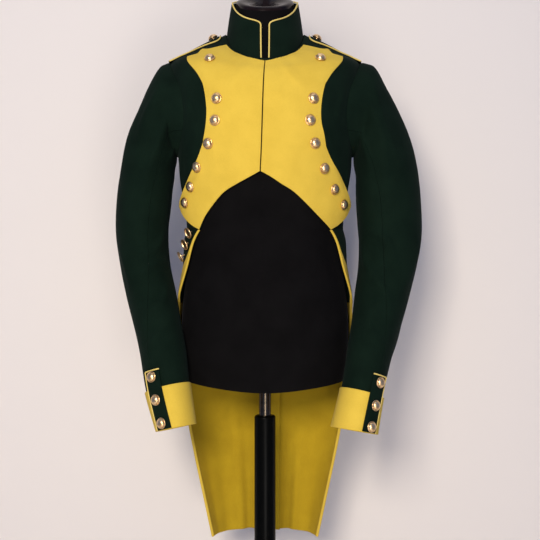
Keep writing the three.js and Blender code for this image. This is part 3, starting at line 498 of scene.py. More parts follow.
# A turned piece: a profile of radius and height swept round its axis.
def turnedRings(profile, around, seat=(0, 0, 0), axis=(0, 0, 1)):
    profile = np.asarray(profile, float)
    axis = unit(np.asarray(axis, float))
    aside = unit(np.cross(axis, [0.0, 1.0, 0.0] if abs(axis[1]) < 0.9 else [1.0, 0.0, 0.0]))
    third = np.cross(axis, aside)
    angle = np.linspace(0, 2 * np.pi, around, endpoint=False)[None, :, None]
    ring = np.cos(angle) * aside + np.sin(angle) * third
    return np.asarray(seat, float) + profile[:, 0, None, None] * ring + profile[:, 1, None, None] * axis


# The body that the coat is cut to. Columns of these and the other oval rings: height at the
# sides, in front and behind, half width, front, middle and back depths, power and swing.

bodyRings = [
    [844, 831, 836, 146, -98, 8, 112, 2.2, 2], [880, 880, 880, 151, -102, 8, 120, 2.2, 2],
    [950, 950, 950, 152, -104, 8, 122, 2.2, 2], [1005, 1005, 1005, 147, -102, 6, 115, 2.2, 2],
    [1055, 1055, 1055, 139.5, -98, 4, 101, 2.2, 2], [1112, 1112, 1112, 138, -95, 2, 88, 2.2, 2],
    [1160, 1160, 1160, 142.5, -101, 1, 91, 2.2, 2], [1205, 1205, 1205, 149, -112, 0, 99, 2.25, 2],
    [1240, 1240, 1240, 153, -119, 0, 105, 2.3, 2], [1290, 1285, 1292, 156, -124, 0, 110, 2.35, 1.8],
    [1345, 1325, 1348, 161, -123, 2, 111, 2.35, 1.7], [1390, 1352, 1392, 167, -118, 4, 105, 2.2, 1.6],
    [1411, 1371, 1424, 165, -110, 5, 96, 2.1, 1.5], [1428, 1383, 1447, 134, -101, 3, 86, 2.05, 1.4],
    [1445, 1392, 1464, 102, -94, 0, 75, 2, 1.3], [1461, 1399, 1478, 69, -87, -2, 63, 2, 1.2],
]
neckRing = len(bodyRings) - 1


# A place on the body's rings, at a turn in degrees from the front.
def bodyPoint(turn, place):
    return ovalPoint(readRows(bodyRings, place), turn)


# The body's points and normals.
def bodySurface(turn, place):
    return surfaceOf(bodyPoint, turn, place, 0.05, 0.01, neckRing)


# The place on the rings that has a given height at a given turn, found by halving.
def placeAt(turn, height):
    turn, height = np.broadcast_arrays(np.asarray(turn, float), np.asarray(height, float))
    low, high = np.zeros(turn.shape), np.full(turn.shape, float(neckRing))
    for _ in range(36):
        middle = (low + high) / 2
        isBelow = bodyPoint(turn, middle)[..., 2] < height
        low, high = np.where(isBelow, middle, low), np.where(isBelow, high, middle)
    return (low + high) / 2


# Pairs of turn and height made into turns and places.
def onBody(pairs):
    pairs = np.asarray(pairs, float)
    return np.stack([pairs[..., 0], placeAt(pairs[..., 0], pairs[..., 1])], -1)


# Folds by turn and height: start turn and height, end turn and height, bow, width and depth.
degreeWide = 2.4  # millimetres of body for a degree of turn
unevenness = 0.25
bodyFolds = {
    1: [
        [60, 1352, 53, 1292, 4, 8, 2.2], [69, 1252, 88, 1150, 10, 9, 2.4],
        [84, 1228, 101, 1128, -8, 8, 2.2], [106, 1248, 119, 1150, 9, 9, 2.6],
        [132, 1196, 172, 1170, 8, 8, 1.9], [140, 1160, 178, 1144, -5, 7, 1.6],
        [122, 1330, 150, 1250, -12, 12, 2.6], [150, 1392, 167, 1330, 10, 15, 2.4],
        [98, 1400, 128, 1372, 6, 9, 1.9], [86, 1180, 118, 1140, 9, 7, 1.7],
        [160, 1300, 174, 1210, 6, 12, 1.6],
    ],
    -1: [
        [58, 1340, 52, 1286, -4, 8, 2.0], [70, 1240, 84, 1146, -9, 8, 2.2],
        [90, 1232, 104, 1120, 9, 9, 2.5], [110, 1240, 116, 1140, -6, 8, 2.3],
        [128, 1182, 168, 1180, -9, 8, 2.0], [142, 1150, 176, 1156, 5, 7, 1.5],
        [120, 1342, 146, 1246, 14, 12, 2.8], [152, 1400, 164, 1342, -9, 14, 2.2],
        [100, 1396, 132, 1384, -7, 9, 1.8], [94, 1190, 122, 1150, -8, 7, 1.6],
        [164, 1290, 176, 1222, -6, 11, 1.5],
    ],
}


# Cloth on the body: the body moved out by its folds and by a product of two slow sine waves.
def bodyCloth(line, side, folded=True):
    turn, place = line[..., 0], line[..., 1]
    point, normal = bodySurface(turn, place)
    if folded:
        lift = foldField(turn, point[..., 2], bodyFolds[side], degreeWide)
        wave = np.sin(turn * 0.33 + point[..., 2] * 0.021) * np.sin(point[..., 2] * 0.037)
        point = point + normal * (lift + unevenness * wave + unevenness)[..., None]
    return point, normal


# Turns and heights every 30 degrees round the armhole, from the shoulder point forwards.
armhole = [
    [92, 1408], [78, 1392], [67, 1362], [62.5, 1325], [65, 1286], [75, 1254],
    [89, 1240], [103, 1249], [114, 1272], [120.5, 1310], [119, 1352], [108, 1390],
]
armholeMiddle = np.array([91, 1325])
sideBackAround = 250


# The armhole's turn and height by the angle round it: the cubic through its rows, read in the
# second of three rounds so that it has no ends.
def armholeAt(around):
    return readRows(armhole * 3, np.asarray(around, float) / 30 + len(armhole))


# A stretch of the armhole between two angles.
def armholeEdge(start, end, count):
    return onBody(armholeAt(np.linspace(start, end, count + 1)))


# A stretch of the neck's edge between two turns.
def neckEdge(start, end):
    return np.stack([np.linspace(start, end, 5), np.full(5, float(neckRing))], -1)


lapel = {
    "outer": [
        [66, 1193], [56, 1222], [48, 1254], [42.5, 1280], [41, 1306], [43, 1336], [50, 1371], [66, 1406.5],
    ],
    "bottomArc": [[9, 1197, 4], [19, 1186, 5], [31, 1172, 5], [43, 1150, 4], [52, 1131, 2.6]],
    "waistPoint": [60.5, 1110],
    "bottomSide": [[68, 1119], [75, 1134]],
    "corner": [80, 1154],
    "topNeck": [[20, 1399], [40, 1413], [58, 1430]],
    "topInner": [[58, 1430], [62, 1422], [68, 1423]],
    "topOuter": [[68, 1423], [63.3, 1412], [66, 1406.5]],
    "centreTop": 1391, "centreBottom": 1206, "closureSlant": 4, "parting": 0.28, "soft": 0.3,
    "cornerAt": [139, -25, 1160], "cornerSpread": 75, "cornerLift": 9,
    "bow": {1: 4.1, -1: 1.6}, "bowFrom": 1193, "bowTo": 1385,
}


# The closure's turn: a little off the middle, and leaning to the wearer's right as it falls.
def closure(height, side):
    drop = np.clip((lapel["centreTop"] - height) / (lapel["centreTop"] - lapel["centreBottom"]), 0, 1)
    return coat["seamGap"] / 3 - side * lapel["closureSlant"] * drop


# The lower edge in front: the table's turns less the side's swing, its heights raised.
def lowerArc(side, rise):
    return onBody([[turn - side * swing, height + rise] for turn, height, swing in lapel["bottomArc"]])


# Seams by turn and height, and how far their two sides stand from their middle, in degrees.
seam = {
    "shift": 0.12, "shoulderTurn": 95, "underarmTurn": 89, "underarmMiddle": 1180,
    "sideBack": [[148, 1112], [141, 1160], [132, 1215]],
    "frontMiddle": 1300, "backMiddle": [1240, 1370], "frontWaistTurn": 60,
}


# The seam between side and back, from the waist up, moved round by a small turn.
def sideBackSeam(shift):
    return onBody([[turn + shift, height] for turn, height in seam["sideBack"]])


# Points and lines put one after another.
def joined(*lines):
    return np.concatenate([np.atleast_2d(line) for line in lines])


# Fronts: a patch over the chest and, behind the underarm, one over the side, cut in one.
def frontGrids(side):
    k = coat["density"]
    shift = seam["shift"]
    bottomCentre = onBody([closure(lapel["centreBottom"] + 3, side), lapel["centreBottom"] + 3])
    topCentre = np.array([closure(lapel["centreTop"], side), neckRing])
    waistPoint = onBody([seam["frontWaistTurn"], coat["waist"]])
    underarm = joined(
        onBody([[seam["underarmTurn"], height] for height in (coat["waist"], seam["underarmMiddle"])]),
        onBody(armholeAt(180)),
    )
    shoulderEnd = onBody(armholeAt(0)) - [shift, 0]
    neckEnd = np.array([seam["shoulderTurn"] - shift, neckRing])
    middle = seam["frontMiddle"]
    chest = patch(
        outline([joined(bottomCentre, lowerArc(side, 3), waistPoint), 7 * k],
                [[waistPoint, underarm[0]], 4 * k]),
        outline([joined(topCentre, neckEdge(topCentre[0], neckEnd[0])[1:]), 11 * k]),
        outline([joined(bottomCentre, onBody([closure(middle, side), middle]), topCentre), 15 * k]),
        np.concatenate([outline([underarm, 4 * k]), armholeEdge(180, 0, 8 * k)[1:-1],
                        outline([[shoulderEnd, neckEnd], 3 * k])]),
    )
    sideBackTop = onBody(armholeAt(sideBackAround)) - [shift, 0]
    sidePatch = patch(
        outline([[underarm[0], sideBackSeam(-shift)[0]], 6 * k]),
        np.concatenate([armholeEdge(180, sideBackAround, 6 * k)[:-1], sideBackTop[None]]),
        outline([underarm, 4 * k]),
        outline([joined(sideBackSeam(-shift), sideBackTop), 4 * k]),
    )
    return [bodyCloth(chest, side), bodyCloth(sidePatch, side)]


# Backs: a patch from the side-back seam to the centre seam and up to the shoulder seam.
def backGrid(side):
    k = coat["density"]
    shift = seam["shift"]
    middle = 180 - shift
    sideBackTop = onBody(armholeAt(sideBackAround)) + [shift, 0]
    shoulderEnd = onBody(armholeAt(360)) + [shift, 0]
    neckEnd = np.array([seam["shoulderTurn"] + shift, neckRing])
    sideBack = sideBackSeam(shift)
    waistMiddle = onBody([middle, coat["waist"]])
    centreSeam = onBody([[middle, height] for height in seam["backMiddle"]])
    centreSeam = joined(waistMiddle, centreSeam, [middle, neckRing])
    panel = patch(
        outline([[sideBack[0], waistMiddle], 8 * k]),
        outline([neckEdge(neckEnd[0], middle), 8 * k]),
        np.concatenate([outline([joined(sideBack, sideBackTop), 4 * k]),
                        armholeEdge(sideBackAround, 360, 6 * k)[1:-1],
                        outline([[shoulderEnd, neckEnd], 3 * k])]),
        outline([centreSeam, 13 * k]),
    )
    return bodyCloth(panel, side)


for name, side in sides.items():
    makeSheet(f"front_{name}", frontGrids(side), side, "greenWool")
    makeSheet(f"back_{name}", [backGrid(side)], side, "greenWool")
print("fronts and backs made")

# Lapels.


# The lower outer corner stands off the body, less by a smooth step with the distance from it.
def cornerLift(point):
    away = np.linalg.norm(point - lapel["cornerAt"], axis=-1)
    return lapel["cornerLift"] * (1 - smoothStep(away, 0, lapel["cornerSpread"]))


# Folds of the lapels, the tails and the sleeves have the same columns as those of the body.
lapelFolds = {
    1: [
        [66, 1180, 52, 1216, 3, 7, 1.5], [50, 1290, 30, 1262, -6, 12, 1.3],
        [14, 1392, 30, 1340, 5, 10, 1.6], [6, 1340, 20, 1296, -5, 12, 1.2],
    ],
    -1: [
        [64, 1176, 50, 1220, -3, 7, 1.6], [46, 1300, 28, 1250, 7, 12, 1.3],
        [12, 1384, 26, 1338, -5, 11, 1.5], [8, 1320, 24, 1290, 6, 13, 1.1],
    ],
}


# The outer edge bows inwards by half a sine wave, more on the left lapel.
def lapelOuter(side):
    points = np.array(lapel["outer"], float)
    part = np.clip((points[:, 1] - lapel["bowFrom"]) / (lapel["bowTo"] - lapel["bowFrom"]), 0, 1)
    points[:, 0] -= lapel["bow"][side] * np.sin(np.pi * part)
    return onBody(points)


# A lapel: a patch between its four edges, moved out by its layer, its corner and its folds.
def lapelGrid(side):
    k = coat["density"]

    def centreAt(height):
        return onBody([closure(height, side) + lapel["parting"], height])

    bottomCentre, topCentre = centreAt(lapel["centreBottom"]), centreAt(lapel["centreTop"])
    waistPoint, corner = onBody([lapel["waistPoint"], lapel["corner"]])
    line = patch(
        outline([joined(bottomCentre, lowerArc(side, 0), waistPoint), 7 * k],
                [joined(waistPoint, onBody(lapel["bottomSide"]), corner), 3 * k]),
        outline([joined(topCentre, onBody(lapel["topNeck"])), 6 * k], [onBody(lapel["topInner"]), 2 * k],
                [onBody(lapel["topOuter"]), 2 * k]),
        outline([joined(bottomCentre, centreAt(seam["frontMiddle"]), topCentre), 15 * k]),
        outline([joined(corner, lapelOuter(side)), 15 * k]),
    )
    plain, _ = bodyCloth(line, side, folded=False)
    point, normal = bodyCloth(line, side)
    folds = foldField(line[..., 0], plain[..., 2], lapelFolds[side], degreeWide)
    lift = layerOut + cornerLift(plain) + folds + lapel["soft"]
    return point + normal * lift[..., None], normal


# The line on the cloth's face that lies the stitches' inset inside a grid's edge, read along the
# columns or rows that run in from it.
def insetLine(grid, edge):
    inset = stitch["inset"]
    point, normal = grid
    if edge in ("left", "right"):
        point, normal = np.swapaxes(point, 0, 1), np.swapaxes(normal, 0, 1)
    if edge in ("top", "right"):
        point, normal = point[::-1], normal[::-1]
    run = runAlong(point[:12])
    row = (run < inset).sum(0).clip(1, 10)
    number = np.arange(point.shape[1])
    low, high = run[row - 1, number], run[row, number]
    part = ((inset - low) / np.maximum(high - low, 1e-6))[:, None]
    line = point[row - 1, number] * (1 - part) + point[row, number] * part
    return line + normal[row, number] * coat["cloth"], normal[row, number]


# Stitch lines inside some edges of a grid, left off for a few steps at both ends.
def stitchLines(grid, edges, short=0):
    return [[part[short:len(part) - short] for part in insetLine(grid, edge)] for edge in edges]


for name, side in sides.items():
    grid = lapelGrid(side)
    makeSheet(f"lapel_{name}", [grid], side, "yellowWool", 0.6)
    lines = stitchLines(grid, ("left", "right", "bottom", "top"), 3)
    stitches(f"stitches_lapel_{name}", lines, side, "yellowWool")
print("lapels made")

# Sleeves.

# Columns: outer x and z, inner x and z, middle depth, half depth, lean, front seam, and how
# much fuller and lower the left sleeve hangs.
sleeveRings = [
    [185, 1404, 161, 1246, 2, 60, 0, 124, 8.5, 0, 0],
    [209, 1362, 162, 1234, 1, 62, 0, 122, 8.5, 0, 0],
    [226.5, 1320, 163.5, 1222, 0, 62, 0, 120, 10, 0, 0],
    [242.5, 1277, 165, 1208, -1, 61, 0, 118, 11.5, 0, 0],
    [253.5, 1232, 167, 1190, -2, 60, 0, 116, 12.5, -1, 0],
    [262, 1180, 171, 1160, -3, 59, 0, 113, 14, -3, 0],
    [264.5, 1110, 176, 1108, -4, 58, 0, 112, 14, -5, 0],
    [257, 1052, 172, 1052, -8, 57, 4, 106, 12.5, -2, 0],
    [243.5, 993, 161, 1000, -17, 55, 9, 92, 11, 1, 0],
    [228, 940, 150, 953, -37, 52, 13, 75, 8, 5, 0],
    [214, 890, 139, 903, -57, 49, 13, 60, 4, 5, 3],
    [201, 830, 132, 847, -76, 46, 11, 57, -2, 1, 9],
    [180, 767, 121, 779, -95, 42, 9, 57, 6, -6, 5],
]
wrist = len(sleeveRings)
cuffTop = wrist - 1
sleeve = {
    "headInset": 0.972, "headLift": 5.4, "sink": 0.6, "foldDepth": 1.7, "unevenness": 0.7,
    "upperShare": 0.54, "seamShift": 0.05, "underCuff": 0.12,
}
degreeRound = 0.95  # millimetres of sleeve for a degree round it

# Folds by the angle round the sleeve (0 outside, 90 front, 180 inside) and the height.
sleeveFolds = {
    1: [
        [96, 1392, 100, 1190, 10, 10, 2.6], [58, 1382, 74, 1226, -9, 13, 2.4],
        [138, 1330, 128, 1205, 8, 8, 2.6], [24, 1340, 18, 1190, 7, 16, 2.2],
        [150, 1118, 84, 1058, 12, 8, 3.0], [158, 1072, 92, 1022, -9, 7, 2.6],
        [146, 1030, 78, 988, 10, 7, 2.4], [120, 960, 62, 912, -7, 8, 1.9],
        [300, 1370, 322, 1220, 10, 12, 2.6], [262, 1330, 276, 1190, -8, 11, 2.4],
        [236, 1110, 300, 1042, 10, 9, 2.2], [228, 1052, 288, 1000, -8, 8, 2.0],
        [30, 1100, 52, 1010, 8, 13, 1.8], [330, 960, 352, 884, -6, 11, 1.6],
        [196, 1190, 206, 1080, 6, 9, 2.0],
    ],
    -1: [
        [100, 1404, 94, 1176, -9, 9, 3.0], [66, 1360, 70, 1250, 8, 12, 2.0],
        [148, 1340, 140, 1224, -7, 8, 2.8], [20, 1322, 26, 1200, -7, 15, 2.2],
        [152, 1106, 88, 1066, -10, 8, 2.7], [156, 1058, 84, 1030, 9, 7, 2.8],
        [140, 1010, 74, 970, -9, 8, 2.2], [116, 940, 56, 900, 7, 8, 1.7],
        [304, 1362, 316, 1236, -10, 12, 2.5], [258, 1342, 270, 1200, 9, 11, 2.6],
        [232, 1096, 296, 1052, -10, 9, 2.3], [226, 1040, 284, 990, 8, 8, 1.9],
        [34, 1080, 50, 1000, -8, 12, 1.9], [326, 950, 350, 890, 6, 11, 1.6],
        [198, 1180, 204, 1090, -6, 9, 1.8],
    ],
}


# The sleeve's first ring: the armhole drawn in towards its middle and sunk a little.
def armholeRing(around):
    inset = armholeMiddle + (armholeAt(around) - armholeMiddle) * sleeve["headInset"]
    point, normal = bodySurface(inset[..., 0], placeAt(inset[..., 0], inset[..., 1]))
    return point - normal * sleeve["sink"]


# A ring of the sleeve: an oval between its inner and outer points, by the cosine of the angle,
# leaning forwards by its sine.
def sleeveRing(side, index, around):
    isLeft = 1 if side > 0 else 0
    rows = np.asarray(sleeveRings, float)[np.clip(index - 1, 0, wrist - 1)]
    outX, outZ, inX, inZ, mid, halfDepth, lean, _, moreOut, moreIn, drop = np.moveaxis(rows, -1, 0)
    outer = np.stack([outX + isLeft * moreOut, mid, outZ - isLeft * drop], -1)
    inner = np.stack([inX + isLeft * moreIn, mid, inZ - isLeft * drop], -1)
    forward = np.stack([0 * lean, -np.cos(np.radians(lean)), np.sin(np.radians(lean))], -1)
    share = ((1 + np.cos(np.radians(around))) / 2)[..., None]
    ring = inner * (1 - share) + outer * share
    ring = ring + forward * (halfDepth * np.sin(np.radians(around)))[..., None]
    return np.where((index <= 0)[..., None], armholeRing(around), ring)


# The sleeve head rises over the shoulder: a hump by the cube of the angle's cosine, steep at the
# armhole and slowly falling down the sleeve.
def headLift(around, place):
    hump = sleeve["headLift"] * np.maximum(np.cos(np.radians(around)), 0) ** 3
    hump = hump * smoothStep(place, -0.06, 0.06) * (1 - smoothStep(place, 0.2, 0.8))
    return hump[..., None] * [0.2, 0, 0.98]


# A point of the sleeve: the cubic between the rings round it, and the head's hump.
def plainSleevePoint(side, around, place):
    around, place = np.broadcast_arrays(np.asarray(around, float), np.asarray(place, float))
    low = np.clip(np.floor(place).astype(int), 0, wrist - 1)
    part = np.clip(place - low, 0, 1)[..., None]
    rings = (sleeveRing(side, np.clip(low + step, 0, wrist), around) for step in (-1, 0, 1, 2))
    return cubic(*rings, part) + headLift(around, place)


# The sleeve's points and normals, without its folds.
def plainSleeve(side, around, place):
    return surfaceOf(lambda u, v: plainSleevePoint(side, u, v), around, place, 0.5, 0.02, wrist)


# The sleeve moved out by its folds and two slow sine waves, which die out at the armhole and
# above the cuff.
def sleeveCloth(side, around, place):
    point, normal = plainSleeve(side, around, place)
    folds = foldField(np.mod(around, 360), point[..., 2], sleeveFolds[side], degreeRound)
    wave = np.sin(np.radians(around * 2) + place * 0.9 + side) * np.sin(place * 1.7 + side)
    lift = sleeve["foldDepth"] * folds + sleeve["unevenness"] * wave
    fade = np.clip(np.asarray(place) / 1.2, 0, 1) * np.clip((cuffTop - np.asarray(place)) / 0.8, 0, 1)
    return point + normal * (lift * fade)[..., None], normal


# The angle of the front seam at a place down the sleeve.
def sleeveSeamAt(place):
    return readRows(np.asarray(sleeveRings)[:, 7:8], np.clip(place - 1, 0, wrist - 1))[..., 0]


# One piece of the sleeve: its share of the round between the two seams, from the armhole down
# to just under the cuff.
def sleevePiece(side, share, isUpper, columns):
    below = np.linspace(2, cuffTop + sleeve["underCuff"], 130)[1:]
    place = np.concatenate([np.linspace(0, 2, 30), below])[:, None]
    start = sleeveSeamAt(place) - (360 * share if isUpper else 0) + sleeve["seamShift"]
    around = start + np.linspace(0, 1, columns + 1)[None] * (360 * share - 2 * sleeve["seamShift"])
    return sleeveCloth(side, around, np.broadcast_to(place, around.shape))


for name, side in sides.items():
    share = sleeve["upperShare"]
    for part, size, isUpper, columns in (("upper", share, True, 62), ("under", 1 - share, False, 54)):
        grid = sleevePiece(side, size, isUpper, columns)
        makeSheet(f"sleeve_{part}_{name}", [grid], side, "greenWool")
print("sleeves made")

# Cuffs and their buttoned flaps.

flap = {
    "width": 24, "top": 11.58, "bottom": 12.97, "around": 63.5, "swing": 2.5,
    "out": 2 * layerOut, "buttons": (0.1, 0.49, 0.855),
}


# The angle of the flap's middle, a little different left and right.
def flapAround(side):
    return flap["around"] - side * flap["swing"]


# The cuff: the plain sleeve moved out by a layer, with a three-fold and a five-fold wave round it.
def cuffGrid(side):
    around = flapAround(side) + np.linspace(0, 360, 121)[None]
    place = np.linspace(cuffTop, wrist, 34)[:, None]
    point, normal = plainSleeve(side, np.mod(around, 360), place)
    wave = 0.5 * np.sin(np.radians(around * 3) + side) * (place - cuffTop)
    wave = wave + 0.3 * np.sin(np.radians(around * 5))
    return point + normal * (layerOut + wave * 0.6)[..., None], normal


# A place on the flap: part runs down it from 0 to 1, and across from its front edge, -1, to its
# rear edge, 1, turned into degrees by the sleeve's width there.
def flapPoint(side, part, across):
    place = flap["top"] + (flap["bottom"] - flap["top"]) * np.asarray(part, float)
    around = flapAround(side)
    step = plainSleevePoint(side, around, place) - plainSleevePoint(side, around - 1, place)
    perDegree = np.linalg.norm(step, axis=-1)
    return plainSleeve(side, around - np.asarray(across) * flap["width"] / 2 / perDegree, place)


# The flap: the same places moved out by two layers.
def flapGrid(side):
    part, across = np.meshgrid(np.linspace(0, 1, 60), np.linspace(-1, 1, 20), indexing="ij")
    point, normal = flapPoint(side, part, across)
    return point + normal * flap["out"], normal


for name, side in sides.items():
    grid = cuffGrid(side)
    makeSheet(f"cuff_{name}", [grid], side, "yellowWool", 0.7)
    stitches(f"stitches_cuff_{name}", stitchLines(grid, ("top", "bottom")), side, "yellowWool")
    grid = flapGrid(side)
    makeSheet(f"cuff_flap_{name}", [grid], side, "greenWool")
    lines = stitchLines(grid, ("left", "right", "top", "bottom"), 2)
    stitches(f"stitches_cuff_flap_{name}", lines, side, "greenWool")
    along = np.concatenate([np.zeros(24), np.linspace(0, 1, 60)[1:]])
    across = np.concatenate([np.linspace(-1, 1, 24), np.ones(59)])
    edge = flapPoint(side, along[::-1], across[::-1])
    out = flap["out"] + coat["cloth"] / 2
    pipingAlong(f"cord_cuff_flap_{name}", f"cuff_flap_piping_{name}", *edge, out, side)
print("cuffs made")

# Collar.

collarRings = [
    [1462, 1400, 1479, 66, -84, -2, 60, 2, 1.2], [1491, 1435, 1512, 62, -77.5, -2, 56, 2, 1.2],
    [1518, 1467, 1543, 57.5, -70, -2, 52, 2, 1.2],
]
collar = {
    "thickness": 2.5, "openBottom": 5.8, "openTop": 7.7, "height": 66, "corner": 9, "cornerShare": 0.045,
    "cordRadius": 1.35, "cordGap": 0.5, "cordFoot": 0.06,
}
collarTop = len(collarRings) - 1


# The collar's upper edge drops in a quarter circle at its two front corners.
def collarTopAt(part):
    away = np.clip(np.minimum(part, 1 - part) / collar["cornerShare"], 0, 1)
    drop = 1 - np.sqrt(1 - (1 - away) ** 2)
    return collarTop * (1 - drop * collar["corner"] / collar["height"])


# A place on the collar's rings.
def collarPoint(turn, place):
    return ovalPoint(readRows(collarRings, place), turn)


# The collar's points and normals: part runs round it from the left front edge to the right one,
# and the opening between the two widens upwards.
def collarCloth(part, place):
    opening = collar["openBottom"] + (collar["openTop"] - collar["openBottom"]) * place / collarTop
    turn = opening + (360 - 2 * opening) * part
    return surfaceOf(collarPoint, turn, place, 0.05, 0.01, collarTop)


# Steps round the collar, closer together near its two front edges.
def collarParts(count):
    spread = np.linspace(0, 1, count)
    return spread - 0.09 * np.sin(2 * np.pi * spread)


parts = collarParts(141)[None]
grid = collarCloth(parts, np.linspace(0, 1, 30)[:, None] * collarTopAt(parts))
wall = (0, collar["thickness"])
makeSheet("collar", [grid], 1, "greenWool", 0.6, wall)
fronts = np.linspace(collar["cordFoot"], collarTopAt(np.array(0.0)) - 0.08, 12)
parts = np.concatenate([np.zeros(12), collarParts(161), np.ones(12)])
places = np.concatenate([fronts, collarTopAt(collarParts(161)), fronts[::-1]])
edge = collarCloth(parts[::-1], places[::-1])
out = collar["thickness"] / 2
pipingAlong("cord_collar", "collar_piping", *edge, out, 1, collar["cordRadius"], collar["cordGap"])
print("collar made")

# Shoulder straps.

strap = {
    "start": 12.25, "end": 14.6, "halfWidth": 23, "tip": 0.82, "tipWidth": 5, "overSeam": 13,
    "soft": 0.5, "buttonAt": 0.88,
}


# A place on a strap: along runs from the armhole, 0, to the end at the collar, 1, rounded by a
# quarter circle at each side, and straight on over the sleeve's head to -1; across is its width.
def strapCloth(along, across):
    place = strap["start"] + (strap["end"] - strap["start"]) * np.maximum(along, 0)
    tip = np.clip((along - strap["tip"]) / (1 - strap["tip"]), 0, 1)
    half = strap["tipWidth"] + (strap["halfWidth"] - strap["tipWidth"]) * np.sqrt(1 - tip ** 2)
    reach = bodyPoint(90.0, place)[..., 0]
    turn = 90 + np.degrees(np.arctan(across * half / reach))
    point, normal = bodySurface(turn, place)
    ahead = unit(bodyPoint(turn, place + 0.6) - bodyPoint(turn, place))
    return point + ahead * (strap["overSeam"] * np.minimum(along, 0))[..., None], normal


even = np.linspace(0, 1, 40)
strapSteps = np.concatenate([np.linspace(-1, 0, 6)[:-1], (np.sqrt(even) + even) / 2])
for name, side in sides.items():
    point, normal = strapCloth(strapSteps[:, None], np.linspace(-1, 1, 21)[None])
    grid = (point + normal * (layerOut + strap["soft"]), normal)
    makeSheet(f"shoulder_strap_{name}", [grid], side, "greenWool")
    tipAcross = np.linspace(1, -1, 9)[1:-1]
    along = np.concatenate([strapSteps, np.ones(7), strapSteps[::-1]])
    across = np.concatenate([np.ones(len(strapSteps)), tipAcross, -np.ones(len(strapSteps))])
    out = layerOut + coat["cloth"] / 2 + piping["gap"]
    pipingAlong(f"cord_strap_{name}", f"strap_piping_{name}", *strapCloth(along, across), out, side)
print("shoulder straps made")

# Tails.

# Columns: height, half width, front, middle and back depths, turn of the front edge.
skirtRows = [
    [1112, 138, -95, 2, 88, 60.8], [1090, 143.5, -97, 3, 95, 65.5], [1045, 146, -101, 6, 112, 72.5],
    [1000, 153.5, -104, 10, 126, 81], [965, 157, -104, 13, 130.5, 94], [920, 160, -100, 19, 133, 98],
    [870, 160.5, -90, 26, 134, 99], [790, 152, -60, 40, 133, 100], [700, 134, -40, 52, 131, 98],
    [620, 117, -20, 58, 129, 98], [538, 99, 0, 62, 127, 98],
]
skirtLast = len(skirtRows) - 1
skirt = {
    "hem": 538, "liningTop": 980, "lining": 1.2, "fluteTop": 960, "waistGap": 1.3, "power": 2.2,
    "overlap": 30, "inward": 6, "ventTop": 1108, "ventBottom": 1040, "inwardFrom": 150, "inwardTo": 178,
    "smoothFrom": 150, "smoothTo": 170,
}
# Flutes by turn, spread in degrees and depth, deepest at the hem.
flutes = {
    -1: [[157, 9, 9], [128, 10, 5], [140, 4, 1.6], [171, 4, 1.8], [112, 5, 1.5]],
    1: [[147, 8, 8], [168, 7, 4], [120, 9, 4], [134, 4, 1.5], [158, 4, -1.4]],
}
skirtFolds = {
    1: [
        [112, 1098, 128, 1040, 7, 9, 2.2], [130, 1092, 140, 1010, -7, 10, 2.0],
        [152, 1090, 158, 1000, 6, 11, 1.8], [104, 1010, 112, 930, -6, 12, 2.0],
        [118, 900, 124, 760, 7, 12, 1.4], [166, 900, 160, 740, -6, 12, 1.6],
    ],
    -1: [
        [108, 1090, 122, 1030, -7, 9, 2.2], [134, 1094, 138, 1004, 7, 10, 2.1],
        [150, 1086, 162, 1004, -6, 11, 1.9], [106, 1000, 110, 920, 6, 12, 1.9],
        [120, 880, 118, 740, -7, 12, 1.5], [168, 890, 164, 720, 6, 12, 1.5],
    ],
}


# The place on the skirt's rows that has a given height.
def placeOfHeight(height):
    heights = np.array([row[0] for row in skirtRows], float)
    return np.interp(-np.asarray(height, float), -heights, np.arange(len(heights)))


# A tail from its front edge (across 0) to the vent (across 1): an oval section pushed out by bell
# curves round the flutes and by the folds. The right tail passes inside the left below the
# vent's top, by smooth steps, and lies smooth there.
def tailPoint(side, across, place):
    row = readRows(skirtRows, place)
    height, half, front, mid, back, edge = np.moveaxis(row, -1, 0)
    isInner = side < 0
    opened = 1 - smoothStep(height, skirt["ventBottom"], skirt["ventTop"])
    past = skirt["overlap"] * smoothStep(opened, 0.4, 1) / (back - mid) if isInner else 0
    shift = -seam["shift"] * (1 if isInner else 2)
    last = 180 + shift * (1 - opened) + np.degrees(past)
    turn = edge + (last - edge) * across
    power, swing = np.full_like(mid, skirt["power"]), np.full_like(mid, 2)
    section = np.stack([height, height, height, half, front, mid, back, power, swing], -1)
    point = ovalPoint(section, turn)
    hang = 1 - smoothStep(height, skirt["hem"], skirt["fluteTop"])
    out = sum(depth * hang * np.exp(-((turn - at) / spread) ** 2) for at, spread, depth in flutes[side])
    folds = foldField(turn, height, skirtFolds[side], degreeWide)
    out = out + folds * smoothStep(coat["waist"] - height, 0, 40)
    if isInner:
        ventEdge = smoothStep(turn, skirt["inwardFrom"], skirt["inwardTo"])
        out = out - skirt["inward"] * smoothStep(opened, 0, 0.4) * ventEdge
        out = out - folds * smoothStep(turn, skirt["smoothFrom"], skirt["smoothTo"])
    away = unit(np.stack([point[..., 0], point[..., 1] - mid, 0 * mid], -1))
    return point + away * out[..., None]


# A tail's points and normals.
def tailCloth(side, across, place):
    return surfaceOf(lambda u, v: tailPoint(side, u, v), across, place, -0.005, 0.01, skirtLast)


# The yellow facing turned back over the front edge, by height and width. It rounds the edge and
# runs a little way up the inside, over the lining where there is one.
facing = {
    "rows": [[1110, 2], [1086, 2.6], [1073, 4], [1059, 9.5], [1045, 23], [1000, 32], [800, 30], [538, 26]],
    "top": 1107, "thick": 0.6, "outside": 1.3, "inside": 1.1, "overLining": 2.8, "turnedIn": 0.4,
}


